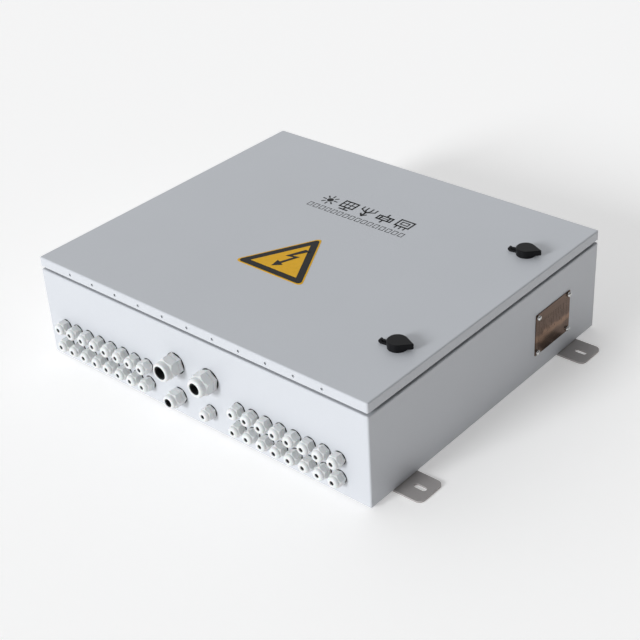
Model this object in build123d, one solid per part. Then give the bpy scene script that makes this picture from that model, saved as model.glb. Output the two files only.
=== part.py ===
from build123d import *
import math
import os
from dataclasses import dataclass

# DC combiner box for sixteen solar strings: a shallow sheet-steel case that hangs on a wall by
# four slotted tabs, with a full-size hinged door, two quarter-turn locks and a row of cable
# glands along its lower wall.  Inside are a mounting plate, a row of fuse holders, two busbars,
# a breaker, a surge protector, a monitoring unit and an earth bar.
#
# The box lies on its back.  +Z points out of the door, +X towards the locks and +Y up the wall
# when the box hangs, away from the glands.  The origin is the centre of the four wall slots, on
# the face that meets the wall.  All sizes are in millimetres.

# ---- Case ----
BOX_LENGTH = 670.0        # X, outside the walls
BOX_HEIGHT = 580.0        # Y, outside the walls
BODY_DEPTH = 156.0        # back face to shoulder
SHEET = 1.5
FOLD_R = 3.0              # outside radius of the folds and corners
SHOULDER = 12.0           # flat rim from the wall's outside to the upstand's outside
UPSTAND = 14.0            # height of the rain upstand above the shoulder

# ---- Door ----
DOOR_GAP = 6.0            # shoulder to the door lip's edge
DOOR_LIP = 16.0
SEAL_WIDTH = 10.0
SEAL_GAP = 0.3            # seal to upstand
DRAIN_R = 2.3
DRAIN_COUNT = 11
DRAIN_PITCH = 51.8
DRAIN_DROP = 9.1          # below the door's face
DRAIN_SHIFT = -3.1        # the row's centre from the box's centre

# ---- Wall tabs ----
TAB_T = 3.0
TAB_WIDTH = 55.0
TAB_REACH = 46.0          # beyond the side wall
TAB_LAP = 60.0            # under the back
TAB_Y = 212.0
TAB_R = 10.0
SLOT_WIDTH = 9.0
SLOT_LENGTH = 21.0
SLOT_X = 25.0             # slot centre beyond the side wall

# ---- Hinges ----
PIN_R = 1.5
PIN_FIT = 0.05
KNUCKLE_R = 2.5
HINGE_Y = 190.0
HINGE_LENGTH = 60.0
KNUCKLE_GAP = 0.4
HINGE_DROP = 1.5          # pin centre below the door lip's edge
HINGE_IN = 2.5            # pin centre inside the wall's outer face
LEAF_T = 1.5
PEDESTAL_OUT = 0.5        # pedestal's outer face outside the pin's centre
PEDESTAL_IN = 3.0
NOTCH_CLEAR = 0.5

# ---- Locks ----
LOCK_X = 51.0             # lock centre to the side wall's outer face
LOCK_Y = 160.0
LOCK_RIM_R = 15.0
LOCK_RIM = 4.0
LOCK_TUBE_R = 11.0
LOCK_TUBE = 16.0
LOCK_NUT_FLATS = 28.0
LOCK_NUT = 5.0
ROTOR_R = 8.0
ROTOR_HEAD_R = 9.5
ROTOR_HEAD = 2.4
ROTOR_FIT = 0.06
KEY_R = 5.5
KEY_PIN_R = 2.2
KEY_DEPTH = 7.0
KEY_BIT = 1.8
CAM_SQUARE = 8.0
CAM_T = 3.0
CAM_WIDTH = 16.0
CAM_CLEAR = 1.5           # cam to the shoulder's underside
CAM_HOOK = 7.0            # cam's reach past the upstand
COVER_R = 15.5
COVER_TIP = 25.0
COVER_TIP_R = 2.4
COVER_H = 8.0
COVER_WALL = 1.6
COVER_BEVEL = 1.2
COVER_GAP = 0.3
COVER_PIN_X = 26.0        # cover hinge to the lock's centre
COVER_TURN = 10.0         # cover and rim turned from +X towards +Y, in degrees
COVER_EYE_R = 3.0
COVER_STRAP = 2.6
CHEEK_T = 1.4

# ---- Nameplate ----
NAMEPLATE_LENGTH = 96.0
NAMEPLATE_HEIGHT = 74.0
NAMEPLATE_T = 1.2
NAMEPLATE_Y = 162.0
NAMEPLATE_Z = 74.0
NAMEPLATE_INSET = 5.5
PLATE_SCREW_R = 2.0
PLATE_SCREW_HEAD_R = 4.2
PLATE_SCREW_HEAD = 4.0
PLATE_SCREW_LENGTH = 8.0

# ---- Glands ----
WASHER_T = 1.4
WASHER_SPREAD = 0.95      # washer over the hexagon's corners
LOCKNUT_T = 4.5
SPLIT = 0.5               # seen between the flange and the dome nut
THREAD_WALL = 1.6
MOUTH_SINK = 1.2          # plug's or seal's face below the dome's tip
DOME_SPREAD = 0.95        # dome over the flats
DOME_START = 0.6          # along the dome nut
DOME_SLOPE = 1.2          # length over height of the cone that cuts the nut's corners
DOME_ROUND = 0.74         # outer rounding over the dome's wall
MOUTH_ROUND = 0.2         # mouth's rounding over the dome's wall
STRING_ROW_Z = (35.2, 67.6)
STRING_COLUMNS = 8
STRING_GAP = 7.16         # between the flats of neighbours
STRING_BANK_X = (-196.9, 186.5)
TURN_STEP = 37.0          # each nut ends at another angle

# ---- Mounting plate ----
STANDOFF = 12.0
PLATE_T = 2.0
PLATE_MARGIN = 40.0       # plate edge to the wall's outer face
STUD_R = 4.0
STUD_COLLAR_R = 7.0
STUD_INSET = 14.0         # stud to the plate's edge
STUD_TAIL = 12.0
STUD_NUT_FLATS = 13.0
STUD_NUT = 6.5

# ---- Rails ----
RAIL_WIDTH = 35.0
RAIL_BODY = 27.0
RAIL_HEIGHT = 7.5
RAIL_T = 1.0
RAIL_FIT = 0.3
RAIL_OVERHANG = 8.0

# ---- Fuse holders ----
STRINGS = 16
HOLDER_PITCH = 36.0
HOLDER_GAP = 0.4
HOLDER_LENGTH = 90.0
HOLDER_SHOULDER = 38.0    # above the rail
HOLDER_NOSE = 58.0        # above the rail
HOLDER_WALL = 2.0
FUSE_ROW_Y = 140.0        # holder row to the gland wall's outer face
DRAWER_SWING_R = 46.0
DRAWER_DEPTH = 30.0
DRAWER_FIT = 0.4
DRAWER_PIN_R = 1.5
DRAWER_HEEL = 3.0
DRAWER_GRIP = 5.0
POLE_PITCH = 17.5
FUSE_R = 5.15
FUSE_LENGTH = 38.0
FUSE_INSET = 14.0         # fuse axis below the drawer's pivot

# ---- Busbars ----
BAR_WIDTH = 20.0
BAR_T = 4.0
BAR_LENGTH = 560.0
BAR_LIFT = 30.0
BAR_FIRST_Y = 75.0        # first bar from the holder row
BAR_PITCH_Y = 36.0
INSULATOR_R = 10.0
SCREW_R = 3.0
SCREW_HEAD_R = 5.0
SCREW_HEAD = 4.0

# ---- Breaker ----
BREAKER_X = -60.0
BREAKER_Y = 85.0
BREAKER_WIDTH = 140.0
BREAKER_LENGTH = 160.0
BREAKER_BASE = 60.0
BREAKER_NOSE = 84.0
BREAKER_NOSE_LENGTH = 92.0
TOGGLE_R = 16.0
TOGGLE_WIDTH = 14.0
TOGGLE_T = 8.0
TOGGLE_LENGTH = 33.0      # pivot to the lever's end
TOGGLE_SINK = 14.0        # pivot below the breaker's face
TOGGLE_FIT = 0.3
TOGGLE_SWING = 36.0

# ---- Surge protector ----
SURGE_X = 40.0
SURGE_Y = 215.0
SURGE_MODULES = 3
SURGE_PITCH = 18.0
SURGE_LENGTH = 90.0
SURGE_BED = 20.0          # above the rail
SURGE_SHOULDER = 38.0
MODULE_LENGTH = 44.0
MODULE_TOP = 60.0
MODULE_FIT = 0.3
BLADE_LENGTH = 12.0
BLADE_DEPTH = 7.0
BLADE_T = 2.0

# ---- Monitoring unit and earth bar ----
MONITOR_X = 150.0
MONITOR_Y = 80.0
MONITOR_SIZE = (150.0, 110.0, 55.0)
EARTH_X = -215.0
EARTH_Y = 215.0
EARTH_LENGTH = 130.0
EARTH_LIFT = 18.0
EARTH_SCREWS = 8

# ---- Levels and edges that follow from the sizes above ----
WALL_X = BOX_LENGTH / 2
WALL_Y = BOX_HEIGHT / 2
BACK_Z = TAB_T
FLOOR_Z = BACK_Z + SHEET
SHOULDER_Z = BACK_Z + BODY_DEPTH
UPSTAND_Z = SHOULDER_Z + UPSTAND
LIP_Z = SHOULDER_Z + DOOR_GAP
DOOR_Z = LIP_Z + DOOR_LIP
DOOR_SKIN_Z = DOOR_Z - SHEET
PLATE_Z = FLOOR_Z + STANDOFF + PLATE_T
RAIL_Z = PLATE_Z + RAIL_HEIGHT
HOLDER_Y = FUSE_ROW_Y - WALL_Y
FOOT_Z = PLATE_Z + RAIL_FIT      # underside of what clips on a rail
HINGE_X = HINGE_IN - WALL_X
HINGE_Z = LIP_Z - HINGE_DROP


@dataclass(frozen=True)
class Gland:
    """One size of cable gland; lengths are counted from the wall's outer face."""

    flats: float      # across the hexagon
    length: float     # wall to the dome's tip
    flange: float     # thickness of the body's hexagon
    thread_r: float   # thread through the wall
    mouth_r: float    # hole in the dome nut
    cable_r: float    # hole in the seal
    tail: float       # thread inside the wall
    wall: float       # nut wall over its thread

    @property
    def corner_r(self):
        return self.flats / 2 / math.cos(math.pi / 6)

    @property
    def neck_r(self):
        return self.flats / 2 - self.wall

    @property
    def seat_r(self):
        return self.neck_r - self.wall / 2

    @property
    def nut_z(self):
        return WASHER_T + self.flange + SPLIT

    @property
    def dome_r(self):
        return self.flats / 2 * DOME_SPREAD

    @property
    def dome_z(self):
        return self.nut_z + (self.length - self.nut_z) * DOME_START

    @property
    def seal_top(self):
        return self.dome_z + (self.length - self.dome_z) * 0.35


STRING_GLAND = Gland(20.0, 20.5, 4.6, 7.6, 3.4, 2.6, 9.0, 2.0)
SIGNAL_GLAND = Gland(20.0, 20.5, 4.6, 7.6, 3.4, 2.5, 9.0, 2.0)
EARTH_GLAND = Gland(25.0, 27.5, 6.0, 10.0, 7.0, 5.5, 10.0, 2.4)
OUTPUT_GLAND = Gland(33.0, 34.0, 7.0, 12.5, 11.2, 9.0, 12.0, 2.8)
TIGHT_OUTPUT_GLAND = Gland(33.0, 33.0, 7.0, 12.5, 9.6, 8.0, 12.0, 2.8)

# Glands that stand alone between the two string banks: size, X and Z.
SERVICE_GLANDS = (
    (OUTPUT_GLAND, -37.0, 96.5),
    (TIGHT_OUTPUT_GLAND, 34.0, 96.5),
    (EARTH_GLAND, -35.0, 39.0),
    (SIGNAL_GLAND, 31.0, 37.8),
)


# ---- Small helpers ----
def block(x, y, z):
    """Return a block from three (low, high) pairs."""
    size = Box(x[1] - x[0], y[1] - y[0], z[1] - z[0])
    return Pos((x[0] + x[1]) / 2, (y[0] + y[1]) / 2, (z[0] + z[1]) / 2) * size


def prism(sketch, low, high):
    """Return a flat outline raised from one level to another."""
    return Pos(0, 0, low) * extrude(sketch, high - low)


def disc(radius, low, high, x=0.0, y=0.0):
    """Return an upright cylinder between two levels."""
    return Pos(x, y, (low + high) / 2) * Cylinder(radius, high - low)


def rod_y(radius, y, x=0.0, z=0.0):
    """Return a cylinder along Y between a (low, high) pair."""
    return Pos(x, (y[0] + y[1]) / 2, z) * Rot(90, 0, 0) * Cylinder(radius, y[1] - y[0])


def rod_x(radius, x, y=0.0, z=0.0):
    """Return a cylinder along X between a (low, high) pair."""
    return Pos((x[0] + x[1]) / 2, y, z) * Rot(0, 90, 0) * Cylinder(radius, x[1] - x[0])


def hexagon(flats, low, high, turn=0.0):
    """Return an upright hexagonal prism."""
    return prism(Rot(0, 0, turn) * RegularPolygon(flats / 2, 6, major_radius=False), low, high)


def outline(inset, radius):
    """Return the case's outline, taken in from the walls' outer faces."""
    return RectangleRounded(BOX_LENGTH - 2 * inset, BOX_HEIGHT - 2 * inset, radius)


def group(shapes):
    """Return one node's separate solids together."""
    return Compound([solid for shape in shapes for solid in shape.solids()])


def pan_screw(shaft_r, shaft, head_r, head):
    """Return a pan-head screw: head on +Z of its seat at zero, shaft below."""
    cap = disc(head_r, 0, head)
    cap = fillet(cap.edges().sort_by(Axis.Z)[-1], head * 0.6)
    slot = block((-head_r, head_r), (-0.5, 0.5), (head * 0.55, head))
    return cap - slot + disc(shaft_r, -shaft, 0)


# ---- Case ----
def gland_places():
    """Return each gland's size, X, Z and turn, string banks first."""
    places = []
    pitch = STRING_GLAND.flats + STRING_GAP
    for bank_x in STRING_BANK_X:
        for row_z in STRING_ROW_Z:
            for column in range(STRING_COLUMNS):
                x = bank_x + (column - (STRING_COLUMNS - 1) / 2) * pitch
                places.append((STRING_GLAND, x, row_z, TURN_STEP * len(places)))
    for size, x, z in SERVICE_GLANDS:
        places.append((size, x, z, TURN_STEP * len(places)))
    return places


def on_gland_wall(shape, x, z):
    """Return a shape built along +Z moved to stand out of the gland wall."""
    return Pos(x, -WALL_Y, z) * Rot(90, 0, 0) * shape


def body_shell():
    """Return the folded case: back, walls, shoulder and upstand in one welded sheet."""
    shell = prism(outline(0, FOLD_R), BACK_Z, SHOULDER_Z)
    shell = fillet(shell.faces().sort_by(Axis.Z)[0].edges(), FOLD_R * 0.8)
    shell = fillet(shell.faces().sort_by(Axis.Z)[-1].edges(), FOLD_R * 0.8)
    hollow = prism(outline(SHEET, FOLD_R - SHEET), FLOOR_Z, SHOULDER_Z - SHEET)
    mouth = prism(outline(SHOULDER + SHEET, FOLD_R), FLOOR_Z, UPSTAND_Z)
    upstand = prism(outline(SHOULDER, FOLD_R + SHEET), SHOULDER_Z - SHEET, UPSTAND_Z)
    shell = shell - hollow + upstand - mouth
    holes = [
        on_gland_wall(disc(size.thread_r, -2 * SHEET, SHEET), x, z)
        for size, x, z, turn in gland_places()
    ]
    shell = shell - holes
    for y, z in nameplate_corners():
        shell = shell - rod_x(PLATE_SCREW_R, (WALL_X - 2 * SHEET, WALL_X + SHEET), y, z)
    return shell


def mounting_tabs():
    """Return the four slotted tabs under the back."""
    tabs = []
    for side in (-1, 1):
        for y in (-TAB_Y, TAB_Y):
            inner = WALL_X - TAB_LAP
            outer = WALL_X + TAB_REACH
            tab = block((inner, outer), (-TAB_WIDTH / 2, TAB_WIDTH / 2), (0, TAB_T))
            tab = fillet(tab.edges().filter_by(Axis.Z).group_by(Axis.X)[-1], TAB_R)
            slot = prism(SlotOverall(SLOT_LENGTH, SLOT_WIDTH), 0, TAB_T)
            tab = tab - Pos(WALL_X + SLOT_X, 0, 0) * slot
            turn = 0 if side > 0 else 180
            tabs.append(Pos(0, y, 0) * Rot(0, 0, turn) * tab)
    return group(tabs)


# ---- Nameplate ----
def nameplate_corners():
    """Return the Y and Z of the nameplate's four screws."""
    y_reach = NAMEPLATE_LENGTH / 2 - NAMEPLATE_INSET
    z_reach = NAMEPLATE_HEIGHT / 2 - NAMEPLATE_INSET
    signs = ((-1, -1), (1, -1), (-1, 1), (1, 1))
    return [(NAMEPLATE_Y + a * y_reach, NAMEPLATE_Z + b * z_reach) for a, b in signs]


def nameplate():
    """Return the blank rating plate on the lock-side wall."""
    y_reach = NAMEPLATE_LENGTH / 2
    z_reach = NAMEPLATE_HEIGHT / 2
    plate = block((WALL_X, WALL_X + NAMEPLATE_T),
                  (NAMEPLATE_Y - y_reach, NAMEPLATE_Y + y_reach),
                  (NAMEPLATE_Z - z_reach, NAMEPLATE_Z + z_reach))
    plate = fillet(plate.edges().filter_by(Axis.X), 1.5)
    for y, z in nameplate_corners():
        plate = plate - rod_x(PLATE_SCREW_R, (WALL_X, WALL_X + NAMEPLATE_T), y, z)
    return plate


def nameplate_screws():
    """Return the nameplate's pan-head screws."""
    screw = pan_screw(PLATE_SCREW_R, PLATE_SCREW_LENGTH, PLATE_SCREW_HEAD_R, PLATE_SCREW_HEAD)
    turned = Rot(0, 90, 0) * screw
    return group([Pos(WALL_X + NAMEPLATE_T, y, z) * turned for y, z in nameplate_corners()])


# ---- Glands, each built along +Z from the wall's outer face ----
def gland_washer(size):
    """Return the flat sealing washer against the wall."""
    return disc(size.corner_r * WASHER_SPREAD, 0, WASHER_T) - disc(size.thread_r, 0, WASHER_T)


def gland_locknut(size):
    """Return the locknut inside the wall."""
    nut = hexagon(size.flats, -SHEET - LOCKNUT_T, -SHEET)
    return nut - disc(size.thread_r, -SHEET - LOCKNUT_T, -SHEET)


def gland_body(size):
    """Return the threaded body with its hexagon flange."""
    flange_top = WASHER_T + size.flange
    seal_foot = size.nut_z + 2 * SPLIT
    body = disc(size.thread_r, -size.tail, WASHER_T)
    body = body + hexagon(size.flats, WASHER_T, flange_top)
    body = body + disc(size.neck_r, flange_top, size.dome_z)
    body = body - disc(size.thread_r - THREAD_WALL, -size.tail, seal_foot)
    return body - disc(size.seat_r, seal_foot, size.dome_z)


def gland_seal(size):
    """Return the rubber ring that grips the cable."""
    foot = size.nut_z + 2 * SPLIT
    ring = disc(size.seat_r, foot, size.dome_z) + disc(size.neck_r, size.dome_z, size.seal_top)
    return ring - disc(size.cable_r, foot, size.seal_top)


def open_gland_seal(size):
    """Return the rubber ring of a gland that is left open, with its nose in the nut's mouth."""
    nose_top = size.length - MOUTH_SINK
    nose = disc(size.mouth_r, size.seal_top, nose_top) - disc(size.cable_r, size.seal_top, nose_top)
    return gland_seal(size) + nose


def gland_nut(size):
    """Return the dome nut: a hexagon with its far corners cut by a cone, a round dome and a mouth."""
    dome_wall = size.dome_r - size.mouth_r
    corner = size.corner_r - size.dome_r
    skirt = hexagon(size.flats, size.nut_z, size.dome_z)
    blank = disc(size.corner_r, size.nut_z, size.dome_z)
    blank = chamfer(blank.edges().sort_by(Axis.Z)[-1], DOME_SLOPE * corner, corner)
    dome = disc(size.dome_r, size.dome_z, size.length)
    dome = dome - disc(size.mouth_r, size.dome_z, size.length)
    top = dome.edges().group_by(Axis.Z)[-1].sort_by(SortBy.RADIUS)
    dome = fillet(top[-1], dome_wall * DOME_ROUND)
    top = dome.edges().filter_by(GeomType.CIRCLE).group_by(Axis.Z)[-1].sort_by(SortBy.RADIUS)
    dome = fillet(top[0], dome_wall * MOUTH_ROUND)
    nut = (skirt & blank) + dome
    nut = nut - disc(size.neck_r, size.nut_z, size.seal_top)
    return nut - disc(size.mouth_r, size.seal_top, size.length)


def gland_plug(size):
    """Return the blanking plug that closes an unused gland."""
    foot = size.nut_z + 2 * SPLIT
    head_top = size.length - MOUTH_SINK
    return disc(size.cable_r, foot, size.seal_top) + disc(size.mouth_r, size.seal_top, head_top)


def gland_set(maker, wanted, turned=False):
    """Return one kind of gland piece at every wanted gland."""
    made = {}
    pieces = []
    for size, x, z, turn in gland_places():
        if wanted(size):
            if size not in made:
                made[size] = maker(size)
            angle = turn if turned else 0.0
            pieces.append(on_gland_wall(Rot(0, 0, angle) * made[size], x, z))
    return group(pieces)


def is_string(size):
    return size is STRING_GLAND


def is_service(size):
    return size is not STRING_GLAND


def is_any(size):
    return True


# ---- Door ----
def knuckle_spans():
    """Return each hinge's outer and middle knuckle spans along Y."""
    third = HINGE_LENGTH / 3
    outer = []
    middle = []
    for centre in (-HINGE_Y, HINGE_Y):
        low = centre - HINGE_LENGTH / 2
        outer.append((low, low + third))
        outer.append((low + 2 * third, low + 3 * third))
        middle.append((low + third + KNUCKLE_GAP, low + 2 * third - KNUCKLE_GAP))
    return outer, middle


def door_panel():
    """Return the door: a tray with folded lips, notched for the hinges."""
    door = prism(outline(0, FOLD_R), LIP_Z, DOOR_Z)
    door = fillet(door.faces().sort_by(Axis.Z)[-1].edges(), FOLD_R * 0.8)
    door = door - prism(outline(SHEET, FOLD_R - SHEET), LIP_Z, DOOR_SKIN_Z)
    notch_top = HINGE_Z + KNUCKLE_R + NOTCH_CLEAR
    for centre in (-HINGE_Y, HINGE_Y):
        reach = HINGE_LENGTH / 2 + NOTCH_CLEAR
        door = door - block((-WALL_X, -WALL_X + SHEET), (centre - reach, centre + reach),
                            (LIP_Z, notch_top))
    for hole in range(DRAIN_COUNT):
        x = DRAIN_SHIFT + (hole - (DRAIN_COUNT - 1) / 2) * DRAIN_PITCH
        door = door - rod_y(DRAIN_R, (-WALL_Y, -WALL_Y + SHEET), x, DOOR_Z - DRAIN_DROP)
    for y in (-LOCK_Y, LOCK_Y):
        door = door - disc(LOCK_TUBE_R, DOOR_SKIN_Z, DOOR_Z, WALL_X - LOCK_X, y)
    return door


def door_seal():
    """Return the foam ring on the door that closes on the upstand."""
    middle = SHOULDER + SHEET / 2
    low = UPSTAND_Z + SEAL_GAP
    outer = prism(outline(middle - SEAL_WIDTH / 2, FOLD_R + SEAL_WIDTH / 2), low, DOOR_SKIN_Z)
    return outer - prism(outline(middle + SEAL_WIDTH / 2, FOLD_R), low, DOOR_SKIN_Z)


def hinge_body_leaves():
    """Return the fixed hinge halves, welded on the shoulder."""
    leaves = []
    bore = KNUCKLE_R * 2
    for span in knuckle_spans()[0]:
        leaf = block((HINGE_X - PEDESTAL_OUT, HINGE_X + PEDESTAL_IN), span,
                     (SHOULDER_Z, HINGE_Z))
        leaf = leaf + rod_y(KNUCKLE_R, span, HINGE_X, HINGE_Z)
        leaves.append(leaf - rod_y(PIN_R, (span[0] - bore, span[1] + bore), HINGE_X, HINGE_Z))
    return group(leaves)


def hinge_door_leaves():
    """Return the moving hinge halves, welded inside the door's lip."""
    leaves = []
    for span in knuckle_spans()[1]:
        inner = -WALL_X + SHEET
        leaf = block((inner, inner + LEAF_T), span, (HINGE_Z, DOOR_SKIN_Z))
        leaf = leaf + rod_y(KNUCKLE_R, span, HINGE_X, HINGE_Z)
        leaves.append(leaf - rod_y(PIN_R + PIN_FIT, span, HINGE_X, HINGE_Z))
    return group(leaves)


def hinge_pins():
    """Return the hinge pins."""
    reach = HINGE_LENGTH / 2
    pins = [rod_y(PIN_R, (y - reach, y + reach), HINGE_X, HINGE_Z) for y in (-HINGE_Y, HINGE_Y)]
    return group(pins)


# ---- Locks, each built with its centre at the origin and the door's face at zero ----
def at_lock(shape, y, turn=0.0):
    """Return a shape turned, then moved to the lock at a height Y."""
    return Pos(WALL_X - LOCK_X, y, DOOR_Z) * Rot(0, 0, turn) * shape


def lock_housing():
    """Return the lock's rim and tube, with two cheeks that hold the cover's pin."""
    housing = disc(LOCK_RIM_R, 0, LOCK_RIM) + disc(LOCK_TUBE_R, -LOCK_TUBE, 0)
    cheek_in = COVER_STRAP / 2 + COVER_GAP
    for side in (-1, 1):
        span = sorted((side * cheek_in, side * (cheek_in + CHEEK_T)))
        housing = housing + block((-COVER_PIN_X, 0), span, (0, LOCK_RIM))
        housing = housing + rod_y(COVER_EYE_R, span, -COVER_PIN_X, LOCK_RIM)
    pin_reach = cheek_in + CHEEK_T
    housing = housing + rod_y(PIN_R, (-pin_reach, pin_reach), -COVER_PIN_X, LOCK_RIM)
    housing = housing - disc(ROTOR_R + ROTOR_FIT, -LOCK_TUBE, LOCK_RIM)
    return housing - disc(ROTOR_HEAD_R + ROTOR_FIT, LOCK_RIM - ROTOR_HEAD, LOCK_RIM)


def lock_nut():
    """Return the nut that holds the lock from inside the door."""
    nut = hexagon(LOCK_NUT_FLATS, -SHEET - LOCK_NUT, -SHEET, 30)
    return nut - disc(LOCK_TUBE_R, -SHEET - LOCK_NUT, -SHEET)


def cam_top():
    """Return the cam's upper face, counted from the door's face."""
    return SHOULDER_Z - SHEET - CAM_CLEAR - DOOR_Z


def lock_rotor():
    """Return the turning core with its double-bit key way and square tail."""
    head_foot = LOCK_RIM - ROTOR_HEAD + ROTOR_FIT
    rotor = disc(ROTOR_R, cam_top(), head_foot) + disc(ROTOR_HEAD_R, head_foot, LOCK_RIM)
    key_way = disc(KEY_R, LOCK_RIM - KEY_DEPTH, LOCK_RIM)
    key_way = key_way - disc(KEY_PIN_R, LOCK_RIM - KEY_DEPTH, LOCK_RIM)
    bits = block((-KEY_R, KEY_R), (-KEY_BIT / 2, KEY_BIT / 2), (LOCK_RIM - KEY_DEPTH, LOCK_RIM))
    rotor = rotor - (key_way - bits)
    half = CAM_SQUARE / 2
    return rotor + block((-half, half), (-half, half), (cam_top() - CAM_T, cam_top()))


def lock_cam():
    """Return the cam, which points down the door when unlocked."""
    reach = LOCK_X - SHOULDER + CAM_HOOK
    low = cam_top() - CAM_T
    cam = disc(CAM_WIDTH / 2, low, cam_top())
    cam = cam + block((-CAM_WIDTH / 2, CAM_WIDTH / 2), (-reach, 0), (low, cam_top()))
    cam = fillet(cam.edges().filter_by(Axis.Z).group_by(Axis.Y)[0], 3)
    half = CAM_SQUARE / 2
    return cam - block((-half, half), (-half, half), (low, cam_top()))


def lock_cover():
    """Return the hinged dust cover: a flat-topped drop with a strap and an eye."""
    low = LOCK_RIM + COVER_GAP
    top = low + COVER_H
    tip_x = COVER_TIP - COVER_TIP_R
    drop = make_hull((Circle(COVER_R) + Pos(tip_x, 0) * Circle(COVER_TIP_R)).edges())
    cover = prism(drop, low, top)
    cover = chamfer(cover.faces().sort_by(Axis.Z)[-1].edges(), COVER_BEVEL)
    strap = block((-COVER_PIN_X, -COVER_R + COVER_WALL), (-COVER_STRAP / 2, COVER_STRAP / 2),
                  (low, LOCK_RIM + COVER_EYE_R))
    cover = cover + strap
    cover = cover - disc(COVER_R - COVER_WALL, low, top - COVER_WALL)
    eye = rod_y(COVER_EYE_R, (-COVER_STRAP / 2, COVER_STRAP / 2), -COVER_PIN_X, LOCK_RIM)
    cover = cover + eye
    return cover - rod_y(PIN_R + PIN_FIT, (-COVER_STRAP, COVER_STRAP), -COVER_PIN_X, LOCK_RIM)


# ---- Mounting plate and rails ----
def stud_places():
    """Return the X and Y of the plate's four studs."""
    x = WALL_X - PLATE_MARGIN - STUD_INSET
    y = WALL_Y - PLATE_MARGIN - STUD_INSET
    return [(-x, -y), (x, -y), (-x, y), (x, y)]


def mounting_plate():
    """Return the galvanised plate that carries the equipment."""
    plate = prism(outline(PLATE_MARGIN, FOLD_R), PLATE_Z - PLATE_T, PLATE_Z)
    for x, y in stud_places():
        plate = plate - disc(STUD_R, PLATE_Z - PLATE_T, PLATE_Z, x, y)
    return plate


def plate_studs():
    """Return the collared studs welded inside the back."""
    studs = []
    for x, y in stud_places():
        stud = disc(STUD_COLLAR_R, FLOOR_Z, PLATE_Z - PLATE_T, x, y)
        studs.append(stud + disc(STUD_R, PLATE_Z - PLATE_T, PLATE_Z + STUD_TAIL, x, y))
    return group(studs)


def plate_nuts():
    """Return the nuts on the plate's studs."""
    nuts = []
    for x, y in stud_places():
        nut = hexagon(STUD_NUT_FLATS, PLATE_Z, PLATE_Z + STUD_NUT)
        nuts.append(Pos(x, y, 0) * (nut - disc(STUD_R, PLATE_Z, PLATE_Z + STUD_NUT)))
    return group(nuts)


def rail(length):
    """Return a top-hat rail along X, centred, standing on the plate."""
    half = length / 2
    web = RAIL_BODY / 2
    lip = RAIL_WIDTH / 2
    rail_shape = block((-half, half), (-web, web), (PLATE_Z, RAIL_Z))
    rail_shape = rail_shape - block((-half, half), (-web + RAIL_T, web - RAIL_T),
                                    (PLATE_Z + RAIL_T, RAIL_Z))
    for side in (-1, 1):
        span = sorted((side * (web - RAIL_T), side * lip))
        rail_shape = rail_shape + block((-half, half), span, (RAIL_Z - RAIL_T, RAIL_Z))
    return rail_shape


def fuse_rail():
    """Return the rail under the fuse holders."""
    return Pos(0, HOLDER_Y, 0) * rail(STRINGS * HOLDER_PITCH + 2 * RAIL_OVERHANG)


def surge_rail():
    """Return the short rail under the surge protector."""
    length = SURGE_MODULES * SURGE_PITCH + 4 * RAIL_OVERHANG
    return Pos(SURGE_X, SURGE_Y, 0) * rail(length)


def rail_seat(width, length):
    """Return the space that a clipped-on device leaves round its rail."""
    reach = RAIL_WIDTH / 2 + RAIL_FIT
    half = width / 2 + length
    return block((-half, half), (-reach, reach), (PLATE_Z, RAIL_Z))


# ---- Fuse holders, each built at the middle of its rail ----
def holder_x(index):
    """Return the X of a fuse holder, counted from the hinge side."""
    return (index - (STRINGS - 1) / 2) * HOLDER_PITCH


def drawer_pivot():
    """Return the Y and Z of a drawer's pivot in its holder."""
    return DRAWER_SWING_R / 2, RAIL_Z + HOLDER_NOSE - DRAWER_HEEL


def drawer_shape(width, fit):
    """Return the fan-shaped drawer outline as a solid, grown by a clearance."""
    pivot_y, pivot_z = drawer_pivot()
    heel = DRAWER_HEEL + fit
    fan = rod_x(DRAWER_SWING_R + fit, (-width / 2, width / 2), pivot_y, pivot_z)
    limits = block((-width / 2, width / 2), (pivot_y - DRAWER_SWING_R - fit, pivot_y + heel),
                   (pivot_z - DRAWER_DEPTH - fit, pivot_z + DRAWER_HEEL))
    return fan & limits


def fuse_base():
    """Return one two-pole holder base."""
    width = HOLDER_PITCH - HOLDER_GAP
    half = HOLDER_LENGTH / 2
    pivot_y, pivot_z = drawer_pivot()
    nose_y = DRAWER_SWING_R / 2 + DRAWER_HEEL + DRAWER_FIT + 2 * HOLDER_WALL
    base = block((-width / 2, width / 2), (-half, half), (FOOT_Z, RAIL_Z + HOLDER_SHOULDER))
    base = base + block((-width / 2, width / 2), (-nose_y, nose_y), (FOOT_Z, RAIL_Z + HOLDER_NOSE))
    base = base - rail_seat(width, HOLDER_WALL)
    pocket = width - 2 * HOLDER_WALL
    base = base - drawer_shape(pocket, DRAWER_FIT)
    base = base - block((-pocket / 2, pocket / 2), (pivot_y, pivot_y + 2 * DRAWER_HEEL),
                        (pivot_z - DRAWER_HEEL, pivot_z + 2 * DRAWER_HEEL))
    base = base + rod_x(DRAWER_PIN_R, (-pocket / 2, pocket / 2), pivot_y, pivot_z)
    for side in (-1, 1):
        for pole in (-1, 1):
            x = pole * POLE_PITCH / 2
            screw_y = side * (half + nose_y) / 2
            base = base - disc(SCREW_R, RAIL_Z + HOLDER_SHOULDER - 10, RAIL_Z + HOLDER_SHOULDER,
                               x, screw_y)
            entry = sorted((side * half, side * (half - 8)))
            base = base - rod_y(SCREW_R, entry, x, RAIL_Z + HOLDER_SHOULDER - 18)
    return base


def fuse_bases():
    """Return the row of holder bases."""
    base = fuse_base()
    return group([Pos(holder_x(index), HOLDER_Y, 0) * base for index in range(STRINGS)])


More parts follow.
